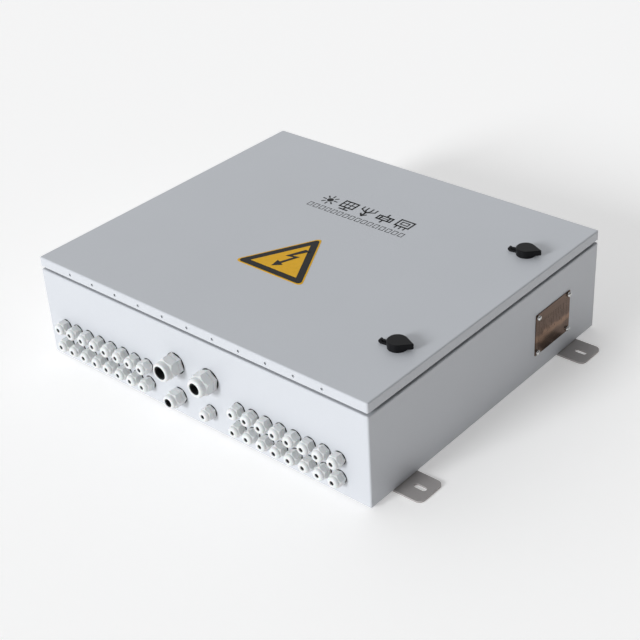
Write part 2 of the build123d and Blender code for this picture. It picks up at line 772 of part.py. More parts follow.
def fuse_drawer():
    """Return one drawer with its two cartridge fuses as separate solids."""
    pivot_y, pivot_z = drawer_pivot()
    width = HOLDER_PITCH - HOLDER_GAP - 2 * HOLDER_WALL - 2 * DRAWER_FIT
    far_y = pivot_y - DRAWER_SWING_R
    drawer = drawer_shape(width, 0)
    grip = block((-width / 2, width / 2), (far_y + 1, far_y + 8),
                 (pivot_z, pivot_z + DRAWER_HEEL + DRAWER_GRIP))
    drawer = drawer + fillet(grip.edges().filter_by(Axis.X).group_by(Axis.Z)[-1], 2)
    drawer = drawer - rod_x(DRAWER_PIN_R + PIN_FIT, (-width, width), pivot_y, pivot_z)
    drawer = drawer - block((-width / 2, width / 2),
                            (pivot_y - DRAWER_PIN_R - PIN_FIT, pivot_y + DRAWER_PIN_R + PIN_FIT),
                            (pivot_z - DRAWER_DEPTH, pivot_z))
    fuse_z = pivot_z - FUSE_INSET
    fuse_y = (pivot_y - DRAWER_PIN_R - 2 * PIN_FIT - FUSE_LENGTH - 0.5,
              pivot_y - DRAWER_PIN_R - 2 * PIN_FIT - 0.5)
    pieces = []
    for pole in (-1, 1):
        x = pole * POLE_PITCH / 2
        channel = rod_y(FUSE_R, fuse_y, x, fuse_z)
        channel = channel + block((x - FUSE_R, x + FUSE_R), fuse_y,
                                  (pivot_z - DRAWER_DEPTH, fuse_z))
        drawer = drawer - channel
        pieces.append(rod_y(FUSE_R, fuse_y, x, fuse_z))
    return group([drawer] + pieces)


# ---- Busbars ----
def bar_y(index):
    """Return a busbar's Y."""
    return HOLDER_Y + BAR_FIRST_Y + index * BAR_PITCH_Y


def bar_supports():
    """Return the X of each busbar's insulators."""
    reach = BAR_LENGTH / 2 - BAR_WIDTH
    return [-reach, 0, reach]


def busbar(index):
    """Return one drilled copper bar."""
    low = PLATE_Z + BAR_LIFT
    half = BAR_WIDTH / 2
    bar = block((-BAR_LENGTH / 2, BAR_LENGTH / 2), (-half, half), (low, low + BAR_T))
    bar = fillet(bar.edges().filter_by(Axis.Z), 2)
    for x in bar_supports():
        bar = bar - disc(SCREW_R, low, low + BAR_T, x)
    return Pos(0, bar_y(index), 0) * bar


def busbar_insulators():
    """Return the ribbed standoff insulators under the bars."""
    foot = disc(INSULATOR_R, PLATE_Z, PLATE_Z + BAR_LIFT)
    for groove in (0.3, 0.5, 0.7):
        z = PLATE_Z + BAR_LIFT * groove
        ring = disc(INSULATOR_R, z - 1.2, z + 1.2) - disc(INSULATOR_R - 2, z - 1.2, z + 1.2)
        foot = foot - ring
    foot = foot - disc(SCREW_R, PLATE_Z + BAR_LIFT - 10, PLATE_Z + BAR_LIFT)
    places = [(x, bar_y(index)) for index in range(2) for x in bar_supports()]
    return group([Pos(x, y, 0) * foot for x, y in places])


def device_screws():
    """Return the screws in the busbars and the earth bar."""
    screw = pan_screw(SCREW_R, BAR_T + 6, SCREW_HEAD_R, SCREW_HEAD)
    bar_top = PLATE_Z + BAR_LIFT + BAR_T
    earth_top = PLATE_Z + EARTH_LIFT + BAR_T
    screws = [Pos(x, bar_y(index), bar_top) * screw for index in range(2) for x in bar_supports()]
    short = pan_screw(SCREW_R, BAR_T, SCREW_HEAD_R, SCREW_HEAD)
    screws += [Pos(x, EARTH_Y, earth_top) * short for x in earth_holes()]
    return group(screws)


# ---- Breaker ----
def breaker_body():
    """Return the moulded-case breaker with a slot for its toggle."""
    half_x = BREAKER_WIDTH / 2
    half_y = BREAKER_LENGTH / 2
    nose_y = BREAKER_NOSE_LENGTH / 2
    face = PLATE_Z + BREAKER_NOSE
    body = block((-half_x, half_x), (-half_y, half_y), (PLATE_Z, PLATE_Z + BREAKER_BASE))
    body = body + block((-half_x, half_x), (-nose_y, nose_y), (PLATE_Z, face))
    body = fillet(body.edges().filter_by(Axis.Z), 2)
    poles = 4
    pole = BREAKER_WIDTH / poles
    for side in (-1, 1):
        for index in range(poles):
            x = (index - (poles - 1) / 2) * pole
            span = sorted((side * half_y, side * (half_y - 22)))
            body = body - block((x - 11, x + 11), span, (PLATE_Z + 24, PLATE_Z + BREAKER_BASE))
    pivot_z = face - TOGGLE_SINK
    reach = TOGGLE_WIDTH / 2 + TOGGLE_FIT
    slot_y = (TOGGLE_SINK * math.tan(math.radians(TOGGLE_SWING / 2)) + TOGGLE_T / 2
              + 2 * TOGGLE_FIT + 1)
    body = body - rod_x(TOGGLE_R + TOGGLE_FIT, (-reach, reach), 0, pivot_z)
    body = body - block((-reach, reach), (-slot_y, slot_y), (pivot_z, face))
    return Pos(BREAKER_X, BREAKER_Y, 0) * body


def breaker_toggle():
    """Return the toggle, resting at off."""
    half = TOGGLE_WIDTH / 2
    lever = block((-half, half), (-TOGGLE_T / 2, TOGGLE_T / 2), (0, TOGGLE_LENGTH))
    lever = fillet(lever.edges().filter_by(Axis.X).group_by(Axis.Z)[-1], TOGGLE_T * 0.4)
    toggle = rod_x(TOGGLE_R, (-half, half)) + lever
    pivot_z = PLATE_Z + BREAKER_NOSE - TOGGLE_SINK
    return Pos(BREAKER_X, BREAKER_Y, pivot_z) * Rot(TOGGLE_SWING / 2, 0, 0) * toggle


# ---- Surge protector ----
def module_x(index):
    """Return a surge module's X."""
    return SURGE_X + (index - (SURGE_MODULES - 1) / 2) * SURGE_PITCH


def surge_base():
    """Return the surge protector's base, with a bed and two terminal ends."""
    half_x = SURGE_MODULES * SURGE_PITCH / 2
    half_y = SURGE_LENGTH / 2
    bed_y = MODULE_LENGTH / 2 + MODULE_FIT
    bed_z = RAIL_Z + SURGE_BED
    base = block((-half_x, half_x), (-half_y, half_y), (FOOT_Z, RAIL_Z + SURGE_SHOULDER))
    base = base - block((-half_x, half_x), (-bed_y, bed_y), (bed_z, RAIL_Z + SURGE_SHOULDER))
    base = base - rail_seat(2 * half_x, HOLDER_WALL)
    blade_x = BLADE_T / 2 + MODULE_FIT
    blade_y = BLADE_LENGTH / 2 + MODULE_FIT
    for index in range(SURGE_MODULES):
        x = module_x(index) - SURGE_X
        base = base - block((x - blade_x, x + blade_x), (-blade_y, blade_y),
                            (bed_z - BLADE_DEPTH - MODULE_FIT, bed_z))
        for side in (-1, 1):
            screw_y = side * (half_y + bed_y) / 2
            base = base - disc(SCREW_R, RAIL_Z + SURGE_SHOULDER - 8, RAIL_Z + SURGE_SHOULDER,
                               x, screw_y)
    return Pos(SURGE_X, SURGE_Y, 0) * base


def surge_module(index):
    """Return one plug-in surge module with its blade."""
    half_x = SURGE_PITCH / 2 - MODULE_FIT / 2
    half_y = MODULE_LENGTH / 2
    bed_z = RAIL_Z + SURGE_BED
    module = block((-half_x, half_x), (-half_y, half_y), (bed_z, RAIL_Z + MODULE_TOP))
    module = chamfer(module.edges().filter_by(Axis.X).group_by(Axis.Z)[-1], 3)
    window = block((-4, 4), (6, 12), (RAIL_Z + MODULE_TOP - 0.8, RAIL_Z + MODULE_TOP))
    module = module - window
    blade = block((-BLADE_T / 2, BLADE_T / 2), (-BLADE_LENGTH / 2, BLADE_LENGTH / 2),
                  (bed_z - BLADE_DEPTH, bed_z))
    return Pos(module_x(index), SURGE_Y, 0) * (module + blade)


# ---- Monitoring unit and earth bar ----
def monitor_unit():
    """Return the monitoring unit with a recessed display and a terminal step."""
    length, height, depth = MONITOR_SIZE
    unit = block((-length / 2, length / 2), (-height / 2, height / 2), (PLATE_Z, PLATE_Z + depth))
    unit = fillet(unit.edges().filter_by(Axis.Z), 3)
    step = block((-length / 2, length / 2), (-height / 2, 16 - height / 2),
                 (PLATE_Z + depth - 20, PLATE_Z + depth))
    window = block((-length / 2 + 15, 10), (0, height / 2 - 15), (PLATE_Z + depth - 1.5,
                                                                 PLATE_Z + depth))
    return Pos(MONITOR_X, MONITOR_Y, 0) * (unit - step - window)


def earth_holes():
    """Return the X of the earth bar's screws."""
    pitch = (EARTH_LENGTH - 2 * BAR_WIDTH) / (EARTH_SCREWS - 1)
    return [EARTH_X + (index - (EARTH_SCREWS - 1) / 2) * pitch for index in range(EARTH_SCREWS)]


def earth_bar():
    """Return the earth bar, folded down to a foot at each end."""
    half = EARTH_LENGTH / 2
    width = BAR_WIDTH / 2
    top = PLATE_Z + EARTH_LIFT
    bar = block((-half, half), (-width, width), (top, top + BAR_T))
    for side in (-1, 1):
        span = sorted((side * half, side * (half - BAR_T)))
        bar = bar + block(span, (-width, width), (PLATE_Z, top + BAR_T))
    bar = Pos(EARTH_X, EARTH_Y, 0) * bar
    for x in earth_holes():
        bar = bar - disc(SCREW_R, top, top + BAR_T, x, EARTH_Y)
    return bar


# ---- Every node ----
def build():
    """Return every node's shape by name."""
    nodes = {
        "body_shell": body_shell(),
        "mounting_tabs": mounting_tabs(),
        "nameplate": nameplate(),
        "nameplate_screws": nameplate_screws(),
        "gland_washers": gland_set(gland_washer, is_any),
        "gland_locknuts": gland_set(gland_locknut, is_any),
        "string_gland_bodies": gland_set(gland_body, is_string, turned=True),
        "string_gland_seals": gland_set(gland_seal, is_string),
        "string_gland_nuts": gland_set(gland_nut, is_string, turned=True),
        "string_gland_plugs": gland_set(gland_plug, is_string),
        "service_gland_bodies": gland_set(gland_body, is_service, turned=True),
        "service_gland_seals": gland_set(open_gland_seal, is_service),
        "service_gland_nuts": gland_set(gland_nut, is_service, turned=True),
        "door_panel": door_panel(),
        "door_seal": door_seal(),
        "hinge_body_leaves": hinge_body_leaves(),
        "hinge_door_leaves": hinge_door_leaves(),
        "hinge_pins": hinge_pins(),
        "lock_housings": group([at_lock(lock_housing(), y, COVER_TURN) for y in (-LOCK_Y, LOCK_Y)]),
        "lock_nuts": group([at_lock(lock_nut(), y) for y in (-LOCK_Y, LOCK_Y)]),
        "mounting_plate": mounting_plate(),
        "plate_studs": plate_studs(),
        "plate_nuts": plate_nuts(),
        "fuse_rail": fuse_rail(),
        "surge_rail": surge_rail(),
        "fuse_bases": fuse_bases(),
        "positive_busbar": busbar(0),
        "negative_busbar": busbar(1),
        "busbar_insulators": busbar_insulators(),
        "device_screws": device_screws(),
        "breaker_body": breaker_body(),
        "breaker_toggle": breaker_toggle(),
        "surge_base": surge_base(),
        "monitor_unit": monitor_unit(),
        "earth_bar": earth_bar(),
    }
    for name, y in (("lower", -LOCK_Y), ("upper", LOCK_Y)):
        nodes[f"{name}_lock_rotor"] = at_lock(lock_rotor(), y)
        nodes[f"{name}_lock_cam"] = at_lock(lock_cam(), y)
        nodes[f"{name}_lock_cover"] = at_lock(lock_cover(), y, COVER_TURN)
    for index in range(SURGE_MODULES):
        nodes[f"surge_module_{index + 1}"] = surge_module(index)
    drawer = fuse_drawer()
    for index in range(STRINGS):
        nodes[f"fuse_drawer_{index + 1:02d}"] = Pos(holder_x(index), HOLDER_Y, 0) * drawer
    return nodes


os.makedirs("parts", exist_ok=True)
for node_name, node_shape in build().items():
    export_step(node_shape, f"parts/{node_name}.step")
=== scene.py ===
import logging
import math
from collections.abc import Iterable, Sequence
from dataclasses import dataclass, field
from enum import Enum

import bmesh
import bpy
from mathutils import Matrix, Vector


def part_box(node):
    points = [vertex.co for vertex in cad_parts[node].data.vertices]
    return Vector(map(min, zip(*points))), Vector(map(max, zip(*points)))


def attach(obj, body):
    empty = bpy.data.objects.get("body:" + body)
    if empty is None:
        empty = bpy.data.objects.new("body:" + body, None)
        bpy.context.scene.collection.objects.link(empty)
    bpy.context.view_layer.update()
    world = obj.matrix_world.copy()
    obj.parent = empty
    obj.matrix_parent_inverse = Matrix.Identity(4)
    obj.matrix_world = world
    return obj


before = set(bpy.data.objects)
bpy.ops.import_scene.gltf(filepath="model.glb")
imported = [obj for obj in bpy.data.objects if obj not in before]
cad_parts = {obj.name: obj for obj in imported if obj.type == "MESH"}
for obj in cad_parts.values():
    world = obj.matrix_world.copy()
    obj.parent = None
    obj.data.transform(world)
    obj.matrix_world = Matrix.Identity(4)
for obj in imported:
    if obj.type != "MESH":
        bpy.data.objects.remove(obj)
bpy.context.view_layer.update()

LOG = logging.getLogger("combiner_box")

MM = 0.001
STRINGS = 16
SAME_PLACE = 1e-7     # metres between points that count as one
SHARP_RIM = 50.0      # degrees past which a turned rim is rounded
CREASE = 32.0         # degrees past which an edge stays sharp
Colour = tuple[float, float, float]
Point = tuple[float, float, float]
Flat = tuple[float, float]


class Body(str, Enum):
    """The moving bodies that small fittings ride on."""

    CASE = "case"
    DOOR = "door"


class Slot(str, Enum):
    """The record's material slots, named by some small fittings."""

    ZINC_STEEL = "zinc_steel"
    HOLDER_PLASTIC = "holder_plastic"
    TOGGLE_PLASTIC = "toggle_plastic"


# ---- Shader maths ----
class Signal:
    """A number in a shader, on which sums are written as Python expressions."""

    def __init__(self, graph: "Graph", socket: bpy.types.NodeSocket) -> None:
        """Wrap a socket of a graph."""
        self.graph = graph
        self.socket = socket

    def _sum(self, operation: str, first: "Signal | float", second: "Signal | float") -> "Signal":
        """Add one Math node.

        Args:
            operation: The Math node's operation.
            first: Its first value or link.
            second: Its second value or link.

        Returns:
            The node's result.
        """
        node = self.graph.node("ShaderNodeMath", {"operation": operation}, {0: first, 1: second})
        return Signal(self.graph, node.outputs[0])

    def __add__(self, other: "Signal | float") -> "Signal":
        """Return self + other."""
        return self._sum("ADD", self, other)

    __radd__ = __add__

    def __sub__(self, other: "Signal | float") -> "Signal":
        """Return self - other."""
        return self._sum("SUBTRACT", self, other)

    def __rsub__(self, other: "Signal | float") -> "Signal":
        """Return other - self."""
        return self._sum("SUBTRACT", other, self)

    def __mul__(self, other: "Signal | float") -> "Signal":
        """Return self * other."""
        return self._sum("MULTIPLY", self, other)

    __rmul__ = __mul__

    def __gt__(self, other: "Signal | float") -> "Signal":
        """Return 1 where self is over other, and 0 elsewhere."""
        return self._sum("GREATER_THAN", self, other)

    def __lt__(self, other: "Signal | float") -> "Signal":
        """Return 1 where self is under other, and 0 elsewhere."""
        return self._sum("LESS_THAN", self, other)

    def __mod__(self, other: "Signal | float") -> "Signal":
        """Return the remainder, never negative."""
        return self._sum("FLOORED_MODULO", self, other)

    def __abs__(self) -> "Signal":
        """Return the size without its sign."""
        return self._sum("ABSOLUTE", self, 0.0)


class Graph:
    """A tree of shader nodes."""

    def __init__(self, tree: bpy.types.NodeTree) -> None:
        """Empty a tree and work in it."""
        self.tree = tree
        self.tree.nodes.clear()

    def node(self, kind: str, settings: dict | None = None,
             inputs: dict | None = None) -> bpy.types.Node:
        """Add any node.

        Args:
            kind: The node's type.
            settings: Its own settings, set first; "stops" are a colour ramp's places and greys.
            inputs: Its sockets' values or links, by name or number.

        Returns:
            The node.
        """
        node = self.tree.nodes.new(kind)
        for key, value in (settings or {}).items():
            if key == "stops":
                ramp = node.color_ramp
                for index, (place, grey) in enumerate(value):
                    stop = ramp.elements[index] if index < 2 else ramp.elements.new(place)
                    stop.position = place
                    stop.color = (grey, grey, grey, 1.0)
            else:
                setattr(node, key, value)
        for key, value in (inputs or {}).items():
            if isinstance(value, Signal):
                self.tree.links.new(value.socket, node.inputs[key])
            elif isinstance(value, bpy.types.NodeSocket):
                self.tree.links.new(value, node.inputs[key])
            elif isinstance(value, tuple) and len(node.inputs[key].default_value) == 4:
                node.inputs[key].default_value = (*value, 1.0)[:4]
            else:
                node.inputs[key].default_value = value
        return node

    def split(self, vector: bpy.types.NodeSocket) -> tuple[Signal, Signal, Signal]:
        """Return a vector's three parts."""
        parts = self.node("ShaderNodeSeparateXYZ", {}, {0: vector})
        return tuple(Signal(self, output) for output in parts.outputs)


class Skin(Graph):
    """One material's nodes, ending in a Principled shader."""

    def __init__(self, name: str, **uniform: float | Colour) -> None:
        """Start a material.

        Args:
            name: The material's name.
            **uniform: Values for the shader's own sockets, with _ for a space in their names.
        """
        self.material = bpy.data.materials.new(name)
        self.material.use_nodes = True
        super().__init__(self.material.node_tree)
        self.shader = self.node("ShaderNodeBsdfPrincipled")
        self.node("ShaderNodeOutputMaterial", {}, {"Surface": self.shader.outputs[0]})
        for key, value in uniform.items():
            socket = self.shader.inputs[key.replace("_", " ")]
            socket.default_value = (*value, 1.0) if isinstance(value, tuple) else value

    def place(self, stretch: Point = (1.0, 1.0, 1.0)) -> bpy.types.NodeSocket:
        """Read the object's own coordinates.

        Args:
            stretch: How they are stretched along the object's axes.

        Returns:
            The coordinates.
        """
        coords = self.node("ShaderNodeTexCoord")
        mapped = self.node("ShaderNodeMapping", {},
                           {"Vector": coords.outputs["Object"], "Scale": stretch})
        return mapped.outputs[0]

    def axes(self) -> tuple[Signal, Signal, Signal]:
        """Return the object's X, Y and Z in metres."""
        return self.split(self.place())

    def noise(self, scale: float, detail: float = 2.0, stretch: Point = (1.0, 1.0, 1.0)) -> Signal:
        """Return smooth noise round one half.

        Args:
            scale: Lumps in a metre.
            detail: Finer layers on top.
            stretch: How the object's axes are stretched first.

        Returns:
            The noise.
        """
        node = self.node("ShaderNodeTexNoise", {},
                         {"Vector": self.place(stretch), "Scale": scale, "Detail": detail})
        return Signal(self, node.outputs[0])

    def cells(self, scale: float) -> bpy.types.Node:
        """Return a Voronoi node with that many cells in a metre."""
        return self.node("ShaderNodeTexVoronoi", {}, {"Vector": self.place(), "Scale": scale})

    def ramp(self, value: Signal, *stops: Flat) -> Signal:
        """Return a value passed through a ramp of (place, grey) stops."""
        node = self.node("ShaderNodeValToRGB", {"stops": stops}, {0: value})
        return Signal(self, node.outputs[0])

    def blend(self, share: Signal, first: Colour | bpy.types.NodeSocket,
              second: Colour | bpy.types.NodeSocket) -> bpy.types.NodeSocket:
        """Return a colour between two.

        Args:
            share: How much of the second shows.
            first: The colour at 0.
            second: The colour at 1.

        Returns:
            The mixed colour's socket.
        """
        node = self.node("ShaderNodeMix", {"data_type": "RGBA"}, {0: share, 6: first, 7: second})
        return node.outputs[2]

    def bump(self, height: Signal, depth: float) -> None:
        """Raise the surface by a height times a depth in metres."""
        node = self.node("ShaderNodeBump", {}, {"Height": height, "Distance": depth, "Strength": 1.0})
        self.tree.links.new(node.outputs[0], self.shader.inputs["Normal"])

    def feed(self, name: str, value: Signal | bpy.types.NodeSocket) -> None:
        """Link a value or a colour to one of the shader's sockets."""
        socket = value.socket if isinstance(value, Signal) else value
        self.tree.links.new(socket, self.shader.inputs[name])

    def tint(self, share: Signal, colour: Colour, first: float, second: float,
             name: str = "Base Color") -> None:
        """Let one of the shader's colours run between two shades of a colour.

        Args:
            share: How much of the second shade shows.
            colour: The colour.
            first: The factor of its shade at 0.
            second: The factor of its shade at 1.
            name: The shader's socket.
        """
        self.feed(name, self.blend(share, shade(colour, first), shade(colour, second)))


def shade(colour: Colour, factor: float) -> Colour:
    """Return a colour made lighter or darker, kept in range."""
    return tuple(min(1.0, max(0.0, part * factor)) for part in colour)


# ---- Finishes ----
@dataclass(frozen=True)
class PowderCoat:
    """Baked powder paint: a fine orange peel, faint specks and very slight clouding."""

    name: str
    colour: Colour
    roughness: float = 0.46
    lumps: float = 620.0
    depth: float = 0.00006

    def material(self) -> bpy.types.Material:
        """Make the finish.

        Returns:
            Its material.
        """
        graph = Skin(self.name, IOR=1.5, Coat_Weight=0.12, Coat_Roughness=0.3)
        cloud = graph.noise(5.0, 3.0)
        speck = graph.ramp(graph.noise(3600.0, 1.0), (0.32, 1.0), (0.42, 0.0))
        body = graph.blend(cloud, shade(self.colour, 0.965), shade(self.colour, 1.03))
        graph.feed("Base Color", graph.blend(speck * 0.22, body, shade(self.colour, 0.7)))
        peel = graph.noise(self.lumps, 2.0)
        grain = graph.noise(2600.0, 2.0)
        graph.feed("Roughness", self.roughness + (grain - 0.5) * 0.22 + (cloud - 0.5) * 0.08)
        graph.bump(peel + grain * 0.3, self.depth)
        return graph.material


@dataclass(frozen=True)
class Moulded:
    """Moulded plastic with a fine eroded texture and faint flow marks."""

    name: str
    colour: Colour
    roughness: float = 0.5
    grain: float = 2400.0
    depth: float = 0.00003
    glow: float = 0.0
    gloss: float = 0.5

    def material(self) -> bpy.types.Material:
        """Make the finish.

        Returns:
            Its material.
        """
        graph = Skin(self.name, IOR=1.49, Subsurface_Weight=self.glow, Subsurface_Scale=0.002,
                     Specular_IOR_Level=self.gloss)
        flow = graph.noise(34.0, 3.0, (1.0, 0.4, 1.0))
        grain = graph.noise(self.grain, 3.0)
        graph.tint(flow, self.colour, 0.93, 1.05)
        graph.feed("Roughness", self.roughness + (grain - 0.5) * 0.3 + (flow - 0.5) * 0.12)
        graph.bump(grain, self.depth)
        return graph.material


@dataclass(frozen=True)
class Rubber:
    """Black moulded rubber with a dry bloom."""

    name: str
    colour: Colour
    pores: float = 1800.0
    depth: float = 0.00005

    def material(self) -> bpy.types.Material:
        """Make the finish.

        Returns:
            Its material.
        """
        graph = Skin(self.name, IOR=1.5, Specular_IOR_Level=0.25)
        bloom = graph.ramp(graph.noise(160.0, 4.0), (0.42, 0.0), (0.8, 1.0))
        pore = graph.noise(self.pores, 3.0)
        graph.tint(bloom * 0.35, self.colour, 1.0, 2.0)
        graph.feed("Roughness", 0.72 + (pore - 0.5) * 0.3)
        graph.bump(pore, self.depth)
        return graph.material


@dataclass(frozen=True)
class PlatedSteel:
    """Zinc-plated or bright steel, with rolled streaks and faint stains."""

    name: str
    colour: Colour
    roughness: float = 0.34
    stain: float = 0.25
    streak: Point = (1.0, 12.0, 12.0)

    def material(self) -> bpy.types.Material:
        """Make the finish.

        Returns:
            Its material.
        """
        graph = Skin(self.name, Metallic=1.0)
        patch = graph.ramp(graph.noise(60.0, 4.0), (0.4, 0.0), (0.72, 1.0))
        streaks = graph.noise(220.0, 3.0, self.streak)
        graph.tint(patch * self.stain, self.colour, 1.0, 0.72)
        graph.feed("Roughness", self.roughness + (streaks - 0.5) * 0.22 + patch * 0.08)
        graph.bump(streaks, 0.00002)
        return graph.material


@dataclass(frozen=True)
class Galvanised:
    """Hot-dipped zinc with its crystal spangle."""

    name: str
    colour: Colour
    spangle: float = 95.0

    def material(self) -> bpy.types.Material:
        """Make the finish.

        Returns:
            Its material.
        """
        graph = Skin(self.name, Metallic=1.0)
        cell = graph.cells(self.spangle)
        split = graph.node("ShaderNodeSeparateColor", {}, {0: cell.outputs["Color"]})
        facet = Signal(graph, split.outputs[0])
        fine = graph.noise(900.0, 2.0)
        graph.tint(facet, self.colour, 0.84, 1.1)
        graph.feed("Roughness", 0.3 + facet * 0.2 + (fine - 0.5) * 0.12)
        graph.bump(facet * 0.4 + fine * 0.3, 0.00003)
        return graph.material


@dataclass(frozen=True)
class BareCopper:
    """Drawn copper bar with handling tarnish."""

    name: str
    colour: Colour

    def material(self) -> bpy.types.Material:
        """Make the finish.

        Returns:
            Its material.
        """
        graph = Skin(self.name, Metallic=1.0)
        tarnish = graph.ramp(graph.noise(26.0, 5.0), (0.44, 0.0), (0.74, 1.0))
        drawn = graph.noise(260.0, 3.0, (0.05, 1.0, 1.0))
        dull = graph.blend(tarnish * 0.6, self.colour, (0.24, 0.1, 0.055))
        graph.feed("Base Color", dull)
        graph.feed("Roughness", 0.26 + tarnish * 0.22 + (drawn - 0.5) * 0.2)
        graph.bump(drawn, 0.00002)
        return graph.material


@dataclass(frozen=True)
class RatingMetal:
    """The rating plate's bright metal with etched rows of plain dashes; its warm brown tint and a
    wavy lighter band across it are painted reflection.
    """

    name: str
    colour: Colour
    # The colour of the wavy lighter band: a painted reflection.
    reflection_band: Colour = (0.3, 0.18, 0.115)
    ink: Colour = (0.03, 0.017, 0.011)
    row_pitch: float = 0.0048
    line: float = 0.0011
    margin: float = 0.009
    tick_pitch: float = 0.003
    tick: float = 0.0018

    def material(self) -> bpy.types.Material:
        """Make the finish.

        Returns:
            Its material.
        """
        low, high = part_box("nameplate")
        graph = Skin(self.name, Metallic=1.0)
        x, y, z = graph.axes()
        across, up = y - (low.y + high.y) / 2, z - (low.z + high.z) / 2
        half_y = (high.y - low.y) / 2 - self.margin
        half_z = (high.z - low.z) / 2 - self.margin
        rows = ((y - low.y) % self.row_pitch) < self.line
        dashes = graph.noise(150.0, 0.0, (0.01, 1.0, 1.0)) > 0.47
        table = (abs(across) < half_y * 0.86) * (up > -0.25 * half_z) * (up < half_z * 0.8)
        edge = (abs(abs(across) - half_y) < self.line / 2) * (abs(up) < half_z)
        ticks = ((z - low.z) % self.tick_pitch) < self.tick
        marks = graph.ramp(table * rows * dashes + edge * ticks, (0.0, 0.0), (0.9, 1.0))
        # A wavy lighter band below the plate's middle, blended into the colour: a painted reflection.
        reflection_wave = up + 0.3 * half_z + (graph.noise(28.0, 2.0) - 0.5) * 0.03
        reflection_band = graph.ramp(abs(reflection_wave), (0.0, 1.0), (0.0045, 0.85), (0.0085, 0.0))
        grain = graph.noise(45.0, 6.0, (1.0, 0.4, 3.0))
        # The warm brown tint, varied by random grain, is a painted brown reflection on the metal.
        warm = graph.blend(grain, shade(self.colour, 0.5), shade(self.colour, 1.35))
        warm = graph.blend(reflection_band * 0.75, warm, self.reflection_band)
        graph.feed("Base Color", graph.blend(marks * 0.75, warm, self.ink))
        brushed = graph.noise(700.0, 2.0, (1.0, 0.08, 1.0))
        graph.feed("Roughness", 0.2 + marks * 0.35 + (brushed - 0.5) * 0.14)
        graph.bump(brushed * 0.3 - marks, 0.00003)
        return graph.material


@dataclass(frozen=True)
class Printed:
    """Screen-printed ink or cut vinyl, with a satin face and slight mottling."""

    name: str
    colour: Colour
    roughness: float = 0.42

    def material(self) -> bpy.types.Material:
        """Make the finish.

        Returns:
            Its material.
        """
        graph = Skin(self.name, IOR=1.48, Specular_IOR_Level=0.22)
        mottle = graph.noise(180.0, 4.0)
        grain = graph.noise(1500.0, 2.0)
        graph.tint(mottle, self.colour, 0.9, 1.08)
        graph.feed("Roughness", self.roughness + (grain - 0.5) * 0.2)
        graph.bump(grain, 0.00002)
        return graph.material


@dataclass(frozen=True)
class Lens:
    """A clear or tinted window over a dark display, or a small lamp."""

    name: str
    colour: Colour
    glow: Colour = (0.0, 0.0, 0.0)

    def material(self) -> bpy.types.Material:
        """Make the finish.

        Returns:
            Its material.
        """
        graph = Skin(self.name, IOR=1.52, Coat_Weight=1.0, Coat_Roughness=0.04,
                     Emission_Strength=0.6)
        smear = graph.noise(120.0, 4.0)
        graph.tint(smear, self.colour, 0.85, 1.15)
        graph.tint(smear, self.glow, 0.9, 1.1, "Emission Color")
        graph.feed("Roughness", 0.08 + smear * 0.12)
        return graph.material


@dataclass(frozen=True)
class StudioFloor:
    """A plain white sweep, lit a little from below, with a faint paper tooth."""

    name: str
    colour: Colour
    lit: float = 0.24

    def material(self) -> bpy.types.Material:
        """Make the finish.

        Returns:
            Its material.
        """
        graph = Skin(self.name, Roughness=0.85, Emission_Color=(1.0, 1.0, 1.0),
                     Emission_Strength=self.lit)
        tooth = graph.noise(300.0, 3.0)
        graph.tint(tooth, self.colour, 0.985, 1.0)
        graph.bump(tooth, 0.00005)
        return graph.material


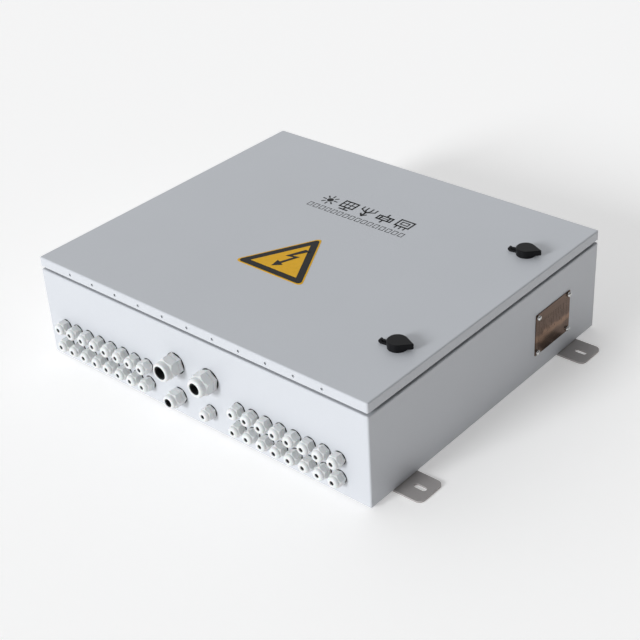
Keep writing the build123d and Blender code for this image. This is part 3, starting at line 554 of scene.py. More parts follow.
@dataclass
class Palette:
    """Every finish on the object, each made once."""

    coat: PowderCoat = PowderCoat("coat_light_grey", (0.6, 0.615, 0.645))
    tab_coat: PowderCoat = PowderCoat("coat_tabs", (0.42, 0.395, 0.385), 0.5)
    gland: Moulded = Moulded("polyamide_light_grey", (0.74, 0.75, 0.745), 0.42, 1500.0, 0.00002,
                             0.08)
    gland_rubber: Rubber = Rubber("gland_rubber_black", (0.012, 0.012, 0.013))
    foam: Rubber = Rubber("foam_seal_dark", (0.03, 0.03, 0.032), 900.0, 0.0002)
    zinc: PlatedSteel = PlatedSteel("zinc_plated", (0.66, 0.66, 0.62))
    bright: PlatedSteel = PlatedSteel("bright_screw_steel", (0.74, 0.74, 0.73), 0.14, 0.1)
    lock_black: Moulded = Moulded("lock_black_plastic", (0.006, 0.006, 0.007), 0.4, 1900.0, 0.00002,
                                  0.0, 0.16)
    lock_metal: PlatedSteel = PlatedSteel("lock_die_cast", (0.52, 0.52, 0.51), 0.4, 0.3,
                                          (1.0, 1.0, 1.0))
    # The rating plate's warm brown colour is a painted reflection on its metal.
    rating: RatingMetal = RatingMetal("rating_plate_metal", (0.125, 0.075, 0.05))
    plate: Galvanised = Galvanised("galvanised_plate", (0.62, 0.63, 0.64))
    rail: PlatedSteel = PlatedSteel("rail_zinc", (0.6, 0.6, 0.56), 0.3, 0.2, (0.05, 1.0, 1.0))
    holder: Moulded = Moulded("holder_grey", (0.52, 0.535, 0.54), 0.52)
    drawer: Moulded = Moulded("drawer_grey", (0.66, 0.67, 0.67), 0.46)
    copper: BareCopper = BareCopper("bare_copper", (0.78, 0.4, 0.25))
    insulator: Moulded = Moulded("insulator_red_brown", (0.36, 0.035, 0.025), 0.4)
    breaker: Moulded = Moulded("breaker_dark_grey", (0.055, 0.058, 0.062), 0.5)
    toggle: Moulded = Moulded("toggle_black", (0.015, 0.015, 0.016), 0.3)
    surge: Moulded = Moulded("surge_grey", (0.55, 0.56, 0.565), 0.5)
    module: Moulded = Moulded("surge_module_red", (0.44, 0.03, 0.022), 0.42)
    monitor: Moulded = Moulded("monitor_dark", (0.09, 0.1, 0.11), 0.48)
    yellow: Printed = Printed("vinyl_yellow", (0.84, 0.45, 0.003))
    ink: Printed = Printed("ink_black", (0.007, 0.007, 0.0075))
    card: Printed = Printed("label_card", (0.72, 0.72, 0.7), 0.55)
    green: Printed = Printed("printed_green", (0.03, 0.3, 0.08))
    red: Printed = Printed("printed_red", (0.5, 0.02, 0.015))
    display: Lens = Lens("display_window", (0.02, 0.06, 0.05), (0.0, 0.02, 0.015))
    lamp: Lens = Lens("lamp_green", (0.05, 0.5, 0.1), (0.0, 0.1, 0.02))
    floor: StudioFloor = StudioFloor("studio_floor", (0.96, 0.945, 0.93))
    made: dict[str, bpy.types.Material] = field(default_factory=dict)

    def get(self, finish: str) -> bpy.types.Material:
        """Find a finish's material, and make it when it is first asked for.

        Args:
            finish: The finish's field.

        Returns:
            The material.
        """
        if finish not in self.made:
            self.made[finish] = getattr(self, finish).material()
        return self.made[finish]


# ---- Shapes ----
class Form:
    """A mesh being shaped with bmesh operators, in metres in the box's frame."""

    def __init__(self) -> None:
        """Start an empty mesh."""
        self.bm = bmesh.new()

    def _soften(self, edges: Iterable[bmesh.types.BMEdge], width: float, segments: int) -> None:
        """Round some edges over.

        Args:
            edges: The edges.
            width: The rounding's width in metres; none is made at zero.
            segments: Faces across the rounding.
        """
        if width > 0:
            bmesh.ops.bevel(self.bm, geom=list(edges), offset=width, affect="EDGES",
                            segments=segments, profile=0.5, material=-1, clamp_overlap=True)

    def block(self, low: Point, high: Point, soften: float = 0.0, segments: int = 2) -> None:
        """Add a block.

        Args:
            low: Its lowest corner.
            high: Its highest corner.
            soften: The rounding on all its edges.
            segments: Faces across the rounding.
        """
        size = Vector(high) - Vector(low)
        middle = (Vector(high) + Vector(low)) / 2
        matrix = Matrix.Translation(middle) @ Matrix.Diagonal((*size, 1.0))
        verts = bmesh.ops.create_cube(self.bm, size=1.0, matrix=matrix)["verts"]
        self._soften({edge for vert in verts for edge in vert.link_edges}, soften, segments)

    def disc(self, centre: Point, radius: float, height: float, top: float | None = None,
             soften: float = 0.0, steps: int = 32) -> None:
        """Add a cylinder or a cone that stands on its centre.

        Args:
            centre: The middle of its foot.
            radius: The foot's radius.
            height: How far it stands up.
            top: The far end's radius, when it tapers.
            soften: The rounding on the far rim.
            steps: Sides round it.
        """
        middle = Vector(centre) + Vector((0.0, 0.0, height / 2))
        made = bmesh.ops.create_cone(self.bm, cap_ends=True, segments=steps, radius1=radius,
                                     radius2=radius if top is None else top, depth=height,
                                     matrix=Matrix.Translation(middle))
        rim = {edge for vert in made["verts"] for edge in vert.link_edges
               if all(end.co.z > middle.z for end in edge.verts)}
        self._soften(rim, soften, 3)

    def tube(self, centre: Point, outer: float, inner: float, height: float, soften: float = 0.0,
             steps: int = 32) -> None:
        """Add a ring of square section.

        Args:
            centre: The middle of its foot.
            outer: Its outer radius.
            inner: Its hole's radius.
            height: How far it stands up.
            soften: The rounding on its edges.
            steps: Sides round it.
        """
        section = [(inner, 0.0), (outer, 0.0), (outer, height), (inner, height)]
        self.lathe(section, centre, steps, soften)

    def lathe(self, profile: Sequence[Flat], centre: Point, steps: int = 32,
              soften: float = 0.0) -> None:
        """Turn a closed profile round an upright axis.

        Args:
            profile: (radius, height) corners in order.
            centre: The point on the axis that heights count from.
            steps: Sides round it.
            soften: The rounding on the sharp turned edges.
        """
        corners = [self.bm.verts.new((radius, 0.0, height)) for radius, height in profile]
        edges = [self.bm.edges.new(pair) for pair in zip(corners, corners[1:] + corners[:1])]
        spun = bmesh.ops.spin(self.bm, geom=corners + edges, cent=(0, 0, 0), axis=(0, 0, 1),
                              angle=math.tau, steps=steps, use_merge=True, use_duplicate=False)
        verts = {vert for part in spun["geom_last"] if isinstance(part, bmesh.types.BMVert)
                 for vert in self._shell(part)}
        bmesh.ops.remove_doubles(self.bm, verts=list(verts), dist=SAME_PLACE)
        verts = [vert for vert in verts if vert.is_valid]
        faces = list({face for vert in verts for face in vert.link_faces})
        bmesh.ops.recalc_face_normals(self.bm, faces=faces)
        bmesh.ops.translate(self.bm, vec=centre, verts=verts)
        rims = {edge for face in faces for edge in face.edges
                if abs(edge.verts[0].co.z - edge.verts[1].co.z) < SAME_PLACE
                and edge.calc_face_angle(0.0) > math.radians(SHARP_RIM)}
        self._soften(rims, soften, 2)

    def _shell(self, start: bmesh.types.BMVert) -> set[bmesh.types.BMVert]:
        """Follow the edges from a vertex.

        Args:
            start: The vertex.

        Returns:
            Every vertex that is joined to it, and itself.
        """
        found = {start}
        waiting = [start]
        while waiting:
            for edge in waiting.pop().link_edges:
                for vert in edge.verts:
                    if vert not in found:
                        found.add(vert)
                        waiting.append(vert)
        return found

    def sheet(self, corners: Sequence[Flat], level: float, height: float,
              round_by: float = 0.0) -> None:
        """Raise a flat outline that lies level.

        Args:
            corners: Its (x, y) corners in order, anticlockwise.
            level: Its underside.
            height: Its thickness.
            round_by: The rounding of its upright corners.
        """
        face = self.bm.faces.new([self.bm.verts.new((x, y, level)) for x, y in corners])
        if round_by > 0:
            bmesh.ops.bevel(self.bm, geom=list(face.verts), offset=round_by, affect="VERTICES",
                            segments=6, profile=0.5, material=-1)
        flat = [one for one in self.bm.faces if all(edge.is_boundary for edge in one.edges)]
        self._raise(flat, height)

    def _raise(self, faces: Sequence[bmesh.types.BMFace], height: float) -> None:
        """Extrude flat faces upwards into closed solids.

        Args:
            faces: The faces.
            height: How far they rise.
        """
        made = bmesh.ops.extrude_face_region(self.bm, geom=list(faces), use_keep_orig=True)
        moved = [part for part in made["geom"] if isinstance(part, bmesh.types.BMVert)]
        bmesh.ops.translate(self.bm, vec=(0, 0, height), verts=moved)
        shells = {vert for one in moved for vert in self._shell(one)}
        faces = list({face for vert in shells for face in vert.link_faces})
        bmesh.ops.recalc_face_normals(self.bm, faces=faces)

    def stroke(self, start: Flat, end: Flat, width: float, level: float, height: float) -> None:
        """Add a straight printed stroke that lies level.

        Args:
            start: Its (x, y) start.
            end: Its (x, y) end.
            width: Its width.
            level: Its underside.
            height: Its thickness.
        """
        run = Vector(end) - Vector(start)
        middle = (Vector(end) + Vector(start)) / 2
        matrix = (Matrix.Translation((*middle, level + height / 2))
                  @ Matrix.Rotation(math.atan2(run.y, run.x), 4, "Z")
                  @ Matrix.Diagonal((run.length + width, width, height, 1.0)))
        bmesh.ops.create_cube(self.bm, size=1.0, matrix=matrix)

    def path(self, points: Sequence[Flat], width: float, level: float, height: float) -> None:
        """Add strokes from each point to the next."""
        for start, end in zip(points, points[1:]):
            self.stroke(start, end, width, level, height)

    def finish(self, name: str, material: bpy.types.Material, body: Body | str,
               slot: Slot | None = None) -> None:
        """Make the object and fix it to a body.

        Args:
            name: The object's name.
            material: Its finish.
            body: The body that it rides on.
            slot: The record's slot for its finish, if it has one; it is not used.
        """
        for face in self.bm.faces:
            face.smooth = True
        for edge in self.bm.edges:
            joined = len(edge.link_faces) == 2
            edge.smooth = joined and edge.calc_face_angle() < math.radians(CREASE)
        mesh = bpy.data.meshes.new(name)
        self.bm.to_mesh(mesh)
        self.bm.free()
        mesh.materials.append(material)
        piece = bpy.data.objects.new(name, mesh)
        bpy.context.scene.collection.objects.link(piece)
        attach(piece, body.value if isinstance(body, Body) else body)
        LOG.info("%s: %d faces on %s", name, len(mesh.polygons), body)


# ---- Finishes on the CAD pieces ----
@dataclass
class Dressing:
    """Which finish each CAD node takes; a name that ends in _ stands for all that start so."""

    palette: Palette
    finishes: dict[str, str] = field(default_factory=lambda: {
        "body_shell": "coat", "door_panel": "coat", "mounting_tabs": "tab_coat",
        "nameplate_screws": "bright", "nameplate": "rating",
        "gland_washers": "gland_rubber", "gland_locknuts": "gland",
        "string_gland_bodies": "gland", "string_gland_nuts": "gland",
        "string_gland_seals": "gland_rubber", "string_gland_plugs": "gland_rubber",
        "service_gland_bodies": "gland", "service_gland_nuts": "gland",
        "service_gland_seals": "gland_rubber",
        "door_seal": "foam", "hinge_body_leaves": "zinc", "hinge_door_leaves": "zinc",
        "hinge_pins": "zinc",
        "lock_housings": "lock_black", "lock_nuts": "zinc", "mounting_plate": "plate",
        "plate_studs": "zinc", "plate_nuts": "zinc", "fuse_rail": "rail", "surge_rail": "rail",
        "fuse_bases": "holder", "positive_busbar": "copper", "negative_busbar": "copper",
        "busbar_insulators": "insulator", "device_screws": "zinc", "breaker_body": "breaker",
        "breaker_toggle": "toggle", "surge_base": "surge", "monitor_unit": "monitor",
        "earth_bar": "copper",
        "lower_lock_rotor": "lock_metal", "upper_lock_rotor": "lock_metal",
        "lower_lock_cam": "zinc", "upper_lock_cam": "zinc",
        "lower_lock_cover": "lock_black", "upper_lock_cover": "lock_black",
        "surge_module_": "module", "fuse_drawer_": "drawer",
    })

    def build(self) -> None:
        """Give every CAD node its finish."""
        for name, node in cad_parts.items():
            finish = self.finishes.get(name) or self.finishes[name[:name.rindex("_") + 1]]
            node.data.materials.clear()
            node.data.materials.append(self.palette.get(finish))
            LOG.info("%s takes %s", name, finish)


# ---- Prints on the door ----
@dataclass
class DoorSign:
    """A generic electrical hazard triangle in cut vinyl: yellow, black, yellow and a black bolt."""

    palette: Palette
    middle_x: float = -3.75 * MM
    foot_y: float = -115.0 * MM
    width: float = 141.0 * MM
    height: float = 132.0 * MM
    rounding: float = 12.0 * MM
    border_rounding: float = 9.6 * MM
    rim: float = 2.6 * MM
    border: float = 11.5 * MM
    layer: float = 0.22 * MM
    bolt_lift: float = 54.0 * MM
    bolt: tuple[Flat, ...] = ((3.0, 33.0), (-11.0, 1.0), (3.0, 4.5), (-6.0, -18.0), (-12.0, -16.0),
                              (-9.0, -34.0), (4.5, -23.0), (-1.0, -20.5), (10.5, 10.5), (-2.5, 7.0),
                              (13.0, 33.0))

    def triangle(self, inset: float) -> list[Flat]:
        """Work out the sign's sharp corners.

        Args:
            inset: How far they are taken in from the sign's edges.

        Returns:
            The three corners.
        """
        half = self.width / 2
        slope = math.hypot(half, self.height)
        inner = half * self.height / (half + slope)
        centre = Vector((self.middle_x, self.foot_y + inner))
        corners = [Vector((self.middle_x + across, self.foot_y + up))
                   for across, up in ((-half, 0.0), (half, 0.0), (0.0, self.height))]
        share = (inner - inset) / inner
        return [tuple(centre + (corner - centre) * share) for corner in corners]

    def build(self, face: float) -> None:
        """Lay the sign's layers on the door, each on the one below.

        Args:
            face: The door's outer level.
        """
        lift = self.foot_y + self.bolt_lift
        bolt = [(self.middle_x + x * MM, lift + y * MM) for x, y in self.bolt]
        layers = (("sign_backing", "yellow", self.triangle(0.0), self.rounding),
                  ("sign_border", "ink", self.triangle(self.rim), self.border_rounding),
                  ("sign_field", "yellow", self.triangle(self.rim + self.border), 0.0),
                  ("sign_bolt", "ink", bolt, 0.0))
        for step, (name, finish, corners, round_by) in enumerate(layers):
            form = Form()
            form.sheet(corners, face + step * self.layer, self.layer, round_by)
            form.finish(name, self.palette.get(finish), Body.DOOR)


@dataclass
class Pen:
    """A pen over one pictogram; places are shares of the pictogram's half size, from its middle."""

    form: Form
    centre: Flat
    half: float
    width: float
    level: float
    thick: float

    def spot(self, across: float, up: float) -> Flat:
        """Return a place on the door."""
        return (self.centre[0] + across * self.half, self.centre[1] + up * self.half)

    def line(self, *points: Flat, share: float = 1.0) -> None:
        """Print a line.

        Args:
            *points: Its corners.
            share: Its width over the pen's.
        """
        self.form.path([self.spot(*point) for point in points], self.width * share, self.level,
                       self.thick)

    def frame(self, left: float, right: float, low: float, high: float, share: float = 1.0) -> None:
        """Print a closed rectangle.

        Args:
            left: Its left side.
            right: Its right side.
            low: Its foot.
            high: Its top.
            share: Its line's width over the pen's.
        """
        self.line((left, low), (right, low), (right, high), (left, high), (left, low), share=share)


@dataclass
class PictogramRow:
    """Five printed pictograms for what the box does: sun, panel, joined strings, fuse and box."""

    palette: Palette
    first_x: float = -80.0 * MM
    pitch: float = 38.6 * MM
    middle_y: float = 125.5 * MM
    half: float = 14.0 * MM
    pen: float = 3.2 * MM
    thick: float = 0.12 * MM
    disc: float = 0.42
    rays: int = 8

    def sun(self, pen: Pen) -> None:
        """Print a disc with its rays.

        Args:
            pen: The pen over the first place.
        """
        pen.form.disc((*pen.centre, pen.level), self.half * self.disc, self.thick, steps=24)
        for step in range(self.rays):
            angle = math.tau * step / self.rays
            way = Vector((math.cos(angle), math.sin(angle)))
            pen.line(tuple(way * 0.66), tuple(way), share=0.8)

    def panel(self, pen: Pen) -> None:
        """Print a leaning module with its cells and a foot.

        Args:
            pen: The pen over the second place.
        """
        pen.frame(-0.95, 0.95, -0.45, 0.95)
        pen.line((-0.95, 0.25), (0.95, 0.25), share=0.7)
        for across in (-0.32, 0.32):
            pen.line((across, -0.45), (across, 0.95), share=0.7)
        pen.line((0.0, -0.45), (0.0, -0.98))
        pen.line((-0.55, -0.98), (0.55, -0.98))

    def strings(self, pen: Pen) -> None:
        """Print four lines that run into one arrow.

        Args:
            pen: The pen over the third place.
        """
        for across in (-0.95, -0.35, 0.35, 0.95):
            pen.line((across, 0.98), (across, 0.4), (0.0, -0.15), share=0.85)
        pen.line((0.0, -0.15), (0.0, -0.9), share=1.1)
        pen.line((-0.4, -0.55), (0.0, -1.0), (0.4, -0.55))

    def fuse(self, pen: Pen) -> None:
        """Print a cartridge fuse with its leads.

        Args:
            pen: The pen over the fourth place.
        """
        pen.frame(-0.98, 0.98, -0.42, 0.42)
        for across in (-0.58, 0.58):
            pen.line((across, -0.42), (across, 0.42))
        pen.line((-0.58, 0.0), (0.58, 0.0), share=0.6)
        for side in (1, -1):
            pen.line((0.0, side * 0.42), (0.0, side * 0.98))

    def box(self, pen: Pen) -> None:
        """Print a box with a door, a lock and cables below.

        Args:
            pen: The pen over the fifth place.
        """
        pen.frame(-0.95, 0.95, -0.45, 0.98)
        pen.frame(-0.5, 0.5, 0.0, 0.55, share=0.7)
        for across in (-0.6, 0.0, 0.6):
            pen.line((across, -0.45), (across, -0.98), share=0.8)

    def build(self, face: float) -> None:
        """Print the row on the door.

        Args:
            face: The door's outer level.
        """
        form = Form()
        for index, draw in enumerate((self.sun, self.panel, self.strings, self.fuse, self.box)):
            centre = (self.first_x + index * self.pitch, self.middle_y)
            draw(Pen(form, centre, self.half, self.pen, face, self.thick))
        form.finish("door_pictograms", self.palette.get("ink"), Body.DOOR)


@dataclass
class StringMarks:
    """Sixteen small open squares under the pictograms, one for each string."""

    palette: Palette
    count: int = STRINGS
    first_x: float = -99.0 * MM
    last_x: float = 91.0 * MM
    middle_y: float = 97.0 * MM
    width: float = 7.6 * MM
    height: float = 11.0 * MM
    pen: float = 1.25 * MM
    thick: float = 0.1 * MM

    def build(self, face: float) -> None:
        """Print the marks on the door.

        Args:
            face: The door's outer level.
        """
        form = Form()
        pitch = (self.last_x - self.first_x) / (self.count - 1)
        tall = self.height / self.width
        for index in range(self.count):
            centre = (self.first_x + index * pitch, self.middle_y)
            pen = Pen(form, centre, self.width / 2, self.pen, face, self.thick)
            pen.frame(-1.0, 1.0, -tall, tall)
        form.finish("door_string_marks", self.palette.get("ink"), Body.DOOR)


# ---- Fittings on the equipment inside ----
def plaque(name: str, material: bpy.types.Material, body: Body | str, low: Point, high: Point,
           soften: float) -> None:
    """Make one soft-edged block as a piece of its own.

    Args:
        name: The piece's name.
        material: Its finish.
        body: The body that it rides on.
        low: Its lowest corner.
        high: Its highest corner.
        soften: The rounding on its edges.
    """
    form = Form()
    form.block(low, high, soften)
    form.finish(name, material, body)


@dataclass
class DrawerTrim:
    """A blank label and two small lamps on every fuse drawer."""

    palette: Palette
    count: int = STRINGS
    label: Flat = (13.0 * MM, 17.0 * MM)
    label_edge: float = 0.3 * MM
    label_start: float = 15.0 * MM    # from the drawer's lower end
    grip: float = 5.0 * MM            # grip's top above the drawer's face
    proud: float = 0.35 * MM
    lamp_radius: float = 1.7 * MM
    lamp_side: float = 8.75 * MM      # from the drawer's middle
    lamp_gap: float = 3.6 * MM        # from the label

    def build(self) -> None:
        """Dress each drawer on its own body."""
        for number in range(1, self.count + 1):
            body = f"fuse_{number:02d}"
            low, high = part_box(f"fuse_drawer_{number:02d}")
            middle = (low.x + high.x) / 2
            face = high.z - self.grip
            start = low.y + self.label_start
            plaque(f"drawer_label_{number:02d}", self.palette.get("card"), body,
                   (middle - self.label[0] / 2, start, face - self.proud),
                   (middle + self.label[0] / 2, start + self.label[1], face + self.proud),
                   self.label_edge)
            lamps = Form()
            for side in (-1, 1):
                centre = (middle + side * self.lamp_side, start - self.lamp_gap, face - self.proud)
                lamps.disc(centre, self.lamp_radius, self.proud * 3, top=self.lamp_radius * 0.8,
                           soften=0.2 * MM, steps=20)
            lamps.finish(f"drawer_lamps_{number:02d}", self.palette.get("lamp"), body)


@dataclass
class TerminalScrews:
    """Slotted clamp screws sunk in their wells."""

    palette: Palette
    name: str
    places: Sequence[Point]
    radius: float = 2.6 * MM
    height: float = 2.2 * MM
    slot: float = 0.7 * MM
    slot_ink: float = 0.15 * MM
    turn_step: float = 35.0           # each screw ends at another angle

    def build(self) -> None:
        """Make every screw, all as one piece."""
        form = Form()
        profile = [(0.0, 0.0), (self.radius, 0.0), (self.radius, self.height * 0.7),
                   (self.radius * 0.8, self.height), (0.0, self.height)]
        for index, (x, y, z) in enumerate(self.places):
            form.lathe(profile, (x, y, z), steps=16)
            angle = math.radians(self.turn_step * index)
            way = Vector((math.cos(angle), math.sin(angle))) * self.radius * 0.72
            form.stroke((x - way.x, y - way.y), (x + way.x, y + way.y), self.slot, z + self.height,
                        self.slot_ink)
        form.finish(self.name, self.palette.get("zinc"), Body.CASE, Slot.ZINC_STEEL)


@dataclass
class HolderTrim:
    """Terminal screws in the fuse holders, four to a holder."""

    palette: Palette
    count: int = STRINGS
    gap: float = 0.4 * MM             # between two holders
    nose: float = 20.0 * MM           # holder's top above its shoulders
    pole: float = 8.75 * MM           # from the holder's middle
    inset: float = 7.55 * MM          # from the holder's end
    well: float = 9.6 * MM

    def build(self) -> None:
        """Put a screw in each well."""
        low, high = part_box("fuse_bases")
        level = high.z - self.nose - self.well
        pitch = (high.x - low.x + self.gap) / self.count
        places = []
        for index in range(self.count):
            x = low.x + (high.x - low.x) / 2 + (index - (self.count - 1) / 2) * pitch
            for y in (low.y + self.inset, high.y - self.inset):
                for pole in (-self.pole, self.pole):
                    places.append((x + pole, y, level))
        TerminalScrews(self.palette, "holder_screws", places).build()


@dataclass
class BreakerTrim:
    """A blank rating label, on and off marks, a test button and terminal screws on the breaker."""

    palette: Palette
    poles: int = 4
    label: Flat = (52.0 * MM, 30.0 * MM)
    label_x: float = 12.0 * MM        # places count from the breaker's middle
    label_edge: float = 0.25 * MM
    proud: float = 0.3 * MM
    rules: int = 5
    rule_margin: float = 4.0 * MM
    rule_length: float = 40.0 * MM
    rule_step: float = 7.0 * MM
    rule_pen: float = 0.7 * MM
    rule_ink: float = 0.1 * MM
    marks_x: float = -20.0 * MM
    on_mark: Flat = (22.0 * MM, 30.0 * MM)
    on_pen: float = 1.6 * MM
    off_y: float = -26.0 * MM
    off_ring: Flat = (4.4 * MM, 3.0 * MM)
    mark_ink: float = 0.15 * MM
    button_at: Flat = (-42.0 * MM, 26.0 * MM)
    button: tuple[Flat, ...] = ((0.0, -0.5), (3.2, -0.5), (3.2, 1.4), (2.4, 2.0), (0.0, 2.0))
    button_ring: tuple[float, float, float] = (4.6 * MM, 3.6 * MM, 0.5 * MM)
    ring_edge: float = 0.15 * MM
    screw: tuple[float, float, float] = (6.0 * MM, 4.5 * MM, 1.4 * MM)
    screw_inset: float = 11.0 * MM
    screw_level: float = 24.0 * MM

    def labels(self, x: float, y: float, face: float) -> None:
        """Lay the ruled label and the switch marks on the face.

        Args:
            x: The breaker's middle.
            y: The breaker's middle.
            face: The breaker's face.
        """
        left, foot = x + self.label_x, y - self.label[1] / 2
        plaque("breaker_label", self.palette.get("card"), Body.CASE,
               (left, foot, face - self.proud),
               (left + self.label[0], y + self.label[1] / 2, face + self.proud), self.label_edge)
        ruled = Form()
        start = left + self.rule_margin
        for row in range(self.rules):
            level = foot + (row + 1) * self.label[1] / (self.rules + 1)
            end = start + self.rule_length - self.rule_step * (row % 3)
            ruled.stroke((start, level), (end, level), self.rule_pen, face + self.proud,
                         self.rule_ink)
        ruled.finish("breaker_label_rules", self.palette.get("ink"), Body.CASE)
        marks = Form()
        across = x + self.marks_x
        marks.stroke((across, y + self.on_mark[0]), (across, y + self.on_mark[1]), self.on_pen,
                     face, self.mark_ink)
        marks.tube((across, y + self.off_y, face), *self.off_ring, self.mark_ink, steps=28)
        marks.finish("breaker_switch_marks", self.palette.get("card"), Body.CASE)

    def build(self) -> None:
        """Dress the breaker's face and terminals."""
        low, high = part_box("breaker_body")
        x, y, face = (low.x + high.x) / 2, (low.y + high.y) / 2, high.z
        self.labels(x, y, face)
        centre = (x + self.button_at[0], y + self.button_at[1], face)
        button = Form()
        button.lathe([(radius * MM, level * MM) for radius, level in self.button], centre, steps=28)
        button.finish("breaker_test_button", self.palette.get("red"), Body.CASE)
        ring = Form()
        ring.tube(centre, *self.button_ring, soften=self.ring_edge, steps=28)
        ring.finish("breaker_button_ring", self.palette.get("toggle"), Body.CASE,
                    Slot.TOGGLE_PLASTIC)
        pitch = (high.x - low.x) / self.poles
        places = [(x + (index - (self.poles - 1) / 2) * pitch, end, low.z + self.screw_level)
                  for index in range(self.poles)
                  for end in (low.y + self.screw_inset, high.y - self.screw_inset)]
        TerminalScrews(self.palette, "breaker_screws", places, *self.screw).build()


@dataclass
class SurgeTrim:
    """A green state window and a blank label on each surge module, and the base's screws."""

    palette: Palette
    count: int = 3
    window_half: float = 3.0 * MM     # places count from the module's middle
    window_y: Flat = (8.0 * MM, 14.0 * MM)
    window_z: Flat = (-0.4 * MM, 0.3 * MM)
    window_edge: float = 0.25 * MM
    label_half: float = 6.5 * MM
    label_y: Flat = (-14.0 * MM, 4.0 * MM)
    label_z: Flat = (-0.3 * MM, 0.25 * MM)
    label_edge: float = 0.2 * MM
    screw_inset: float = 11.3 * MM
    screw_drop: float = 7.8 * MM

    def build(self) -> None:
        """Dress the modules on their own bodies."""
        places = []
        base_low, base_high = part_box("surge_base")
        # The state window takes the lamp finish and glows faintly: a painted glow, as the window is
        # no lamp.
        parts = (
            ("window", "lamp", self.window_half, self.window_y, self.window_z, self.window_edge),
            ("label", "card", self.label_half, self.label_y, self.label_z, self.label_edge))
        for number in range(1, self.count + 1):
            low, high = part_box(f"surge_module_{number}")
            x, y, face = (low.x + high.x) / 2, (low.y + high.y) / 2, high.z
            for name, finish, half, along, up, edge in parts:
                plaque(f"surge_{name}_{number}", self.palette.get(finish), f"surge_{number}",
                       (x - half, y + along[0], face + up[0]),
                       (x + half, y + along[1], face + up[1]), edge)
            for end in (base_low.y + self.screw_inset, base_high.y - self.screw_inset):
                places.append((x, end, base_high.z - self.screw_drop))
        TerminalScrews(self.palette, "surge_screws", places).build()


@dataclass
class MonitorTrim:
    """A display window, four keys, lamps and a screw terminal strip on the monitoring unit."""

    palette: Palette
    display_margin: float = 17.0 * MM
    display_right: float = 8.0 * MM   # places count from the unit's middle
    display_foot: float = 2.0 * MM
    display_z: Flat = (-1.6 * MM, -0.6 * MM)
    display_edge: float = 0.4 * MM
    keys: int = 4
    key: Flat = (9.0 * MM, 7.0 * MM)
    key_at: Flat = (18.0 * MM, 4.0 * MM)
    key_pitch: float = 13.0 * MM
    key_z: Flat = (-0.4 * MM, 1.1 * MM)
    key_edge: float = 1.0 * MM
    lamps: int = 3
    lamp_at: Flat = (24.0 * MM, 26.0 * MM)
    lamp_pitch: float = 14.0 * MM
    lamp: tuple[float, float, float] = (2.0 * MM, 1.5 * MM, 1.4 * MM)
    lamp_sink: float = 0.3 * MM
    lamp_edge: float = 0.5 * MM
    terminals: int = 12
    strip_margin: float = 8.0 * MM
    strip_gap: float = 0.3 * MM
    strip_y: Flat = (2.0 * MM, 13.0 * MM)
    strip_z: Flat = (-20.5 * MM, -10.0 * MM)
    strip_edge: float = 0.6 * MM
    screw_y: float = 8.0 * MM
    screw_drop: float = 11.0 * MM
    screw: Flat = (2.2 * MM, 1.6 * MM)

    def controls(self, x: float, y: float, face: float) -> None:
        """Set the keys and lamps in the face.

        Args:
            x: The unit's middle.
            y: The unit's middle.
            face: The unit's face.
        """
        keys = Form()
        for index in range(self.keys):
            left, foot = x + self.key_at[0] + index * self.key_pitch, y + self.key_at[1]
            keys.block((left, foot, face + self.key_z[0]),
                       (left + self.key[0], foot + self.key[1], face + self.key_z[1]),
                       self.key_edge, 3)
        keys.finish("monitor_keys", self.palette.get("holder"), Body.CASE, Slot.HOLDER_PLASTIC)
        lamps = Form()
        foot, top, height = self.lamp
        for index in range(self.lamps):
            across = x + self.lamp_at[0] + index * self.lamp_pitch
            lamps.disc((across, y + self.lamp_at[1], face - self.lamp_sink), foot, height, top=top,
                       soften=self.lamp_edge, steps=20)
        lamps.finish("monitor_lamps", self.palette.get("lamp"), Body.CASE)

    def build(self) -> None:
        """Dress the unit."""
        low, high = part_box("monitor_unit")
        x, y, face = (low.x + high.x) / 2, (low.y + high.y) / 2, high.z
        plaque("monitor_display", self.palette.get("display"), Body.CASE,
               (low.x + self.display_margin, y + self.display_foot, face + self.display_z[0]),
               (x + self.display_right, high.y - self.display_margin, face + self.display_z[1]),
               self.display_edge)
        self.controls(x, y, face)
        strip = Form()
        start = low.x + self.strip_margin
        span = (high.x - low.x - 2 * self.strip_margin) / self.terminals
        for index in range(self.terminals):
            left = start + index * span + self.strip_gap
            right = start + (index + 1) * span - self.strip_gap
            strip.block((left, low.y + self.strip_y[0], face + self.strip_z[0]),
                        (right, low.y + self.strip_y[1], face + self.strip_z[1]), self.strip_edge)
        strip.finish("monitor_terminals", self.palette.get("green"), Body.CASE)
        places = [(start + (index + 0.5) * span, low.y + self.screw_y, face - self.screw_drop)
                  for index in range(self.terminals)]
        TerminalScrews(self.palette, "monitor_screws", places, *self.screw).build()


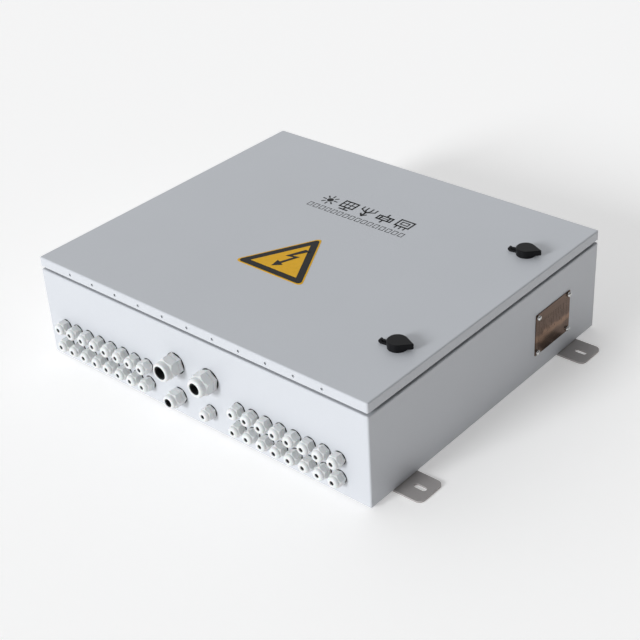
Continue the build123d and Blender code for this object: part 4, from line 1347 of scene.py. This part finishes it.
# ---- Studio ----
@dataclass
class Studio:
    """A pale floor, soft light and the camera."""

    palette: Palette
    floor_half: float = 7.0
    floor_drop: float = 0.2 * MM
    lens: float = 76.47
    sensor: float = 36.0
    camera_at: Point = (1.26824, -1.39026, 1.22490)
    forward: Point = (-0.57128, 0.62368, -0.53354)
    right: Point = (0.75802, 0.65019, -0.05160)
    sky: Colour = (0.97, 0.985, 1.0)
    sky_strength: float = 0.5
    sky_fall: float = 1.0
    key_from: Point = (-0.16, -0.93, 0.34)
    key_colour: Colour = (0.95, 0.975, 1.0)
    key_strength: float = 2.05
    key_softness: float = 16.0

    def floor(self) -> None:
        """Lay the floor under the box."""
        form = Form()
        bmesh.ops.create_grid(form.bm, x_segments=1, y_segments=1, size=self.floor_half,
                              matrix=Matrix.Translation((0, 0, -self.floor_drop)))
        mesh = bpy.data.meshes.new("studio_floor")
        form.bm.to_mesh(mesh)
        form.bm.free()
        mesh.materials.append(self.palette.get("floor"))
        sheet = bpy.data.objects.new("studio_floor", mesh)
        bpy.context.scene.collection.objects.link(sheet)

    def light(self) -> None:
        """Set the sky and the soft key light."""
        world = bpy.data.worlds.new("studio_sky")
        world.use_nodes = True
        graph = Graph(world.node_tree)
        way = graph.split(graph.node("ShaderNodeTexCoord").outputs["Generated"])
        strength = (1 - way[0] * self.sky_fall) * self.sky_strength
        sky = graph.node("ShaderNodeBackground", {}, {"Color": self.sky, "Strength": strength})
        graph.node("ShaderNodeOutputWorld", {}, {"Surface": sky.outputs[0]})
        bpy.context.scene.world = world
        key = bpy.data.lights.new("key_light", "SUN")
        key.energy = self.key_strength
        key.color = self.key_colour
        key.angle = math.radians(self.key_softness)
        lamp = bpy.data.objects.new("key_light", key)
        lamp.rotation_euler = Vector(self.key_from).to_track_quat("Z", "Y").to_euler()
        bpy.context.scene.collection.objects.link(lamp)

    def camera(self) -> None:
        """Place the camera."""
        lens = bpy.data.cameras.new("camera")
        lens.lens = self.lens
        lens.sensor_width = self.sensor
        camera = bpy.data.objects.new("camera", lens)
        forward, right = Vector(self.forward).normalized(), Vector(self.right).normalized()
        up = right.cross(forward)
        turn = Matrix((right, up, -forward)).transposed().to_4x4()
        camera.matrix_world = Matrix.Translation(self.camera_at) @ turn
        bpy.context.scene.collection.objects.link(camera)
        bpy.context.scene.camera = camera

    def build(self) -> None:
        """Set up the studio."""
        self.floor()
        self.light()
        self.camera()
        bpy.context.scene.view_settings.view_transform = "Standard"


def main() -> None:
    """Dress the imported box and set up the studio."""
    logging.basicConfig(level=logging.INFO, format="%(message)s")
    palette = Palette()
    Dressing(palette).build()
    door_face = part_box("door_panel")[1].z
    DoorSign(palette).build(door_face)
    PictogramRow(palette).build(door_face)
    StringMarks(palette).build(door_face)
    for trim in (DrawerTrim, HolderTrim, BreakerTrim, SurgeTrim, MonitorTrim):
        trim(palette).build()
    Studio(palette).build()


if __name__ == "__main__":
    main()
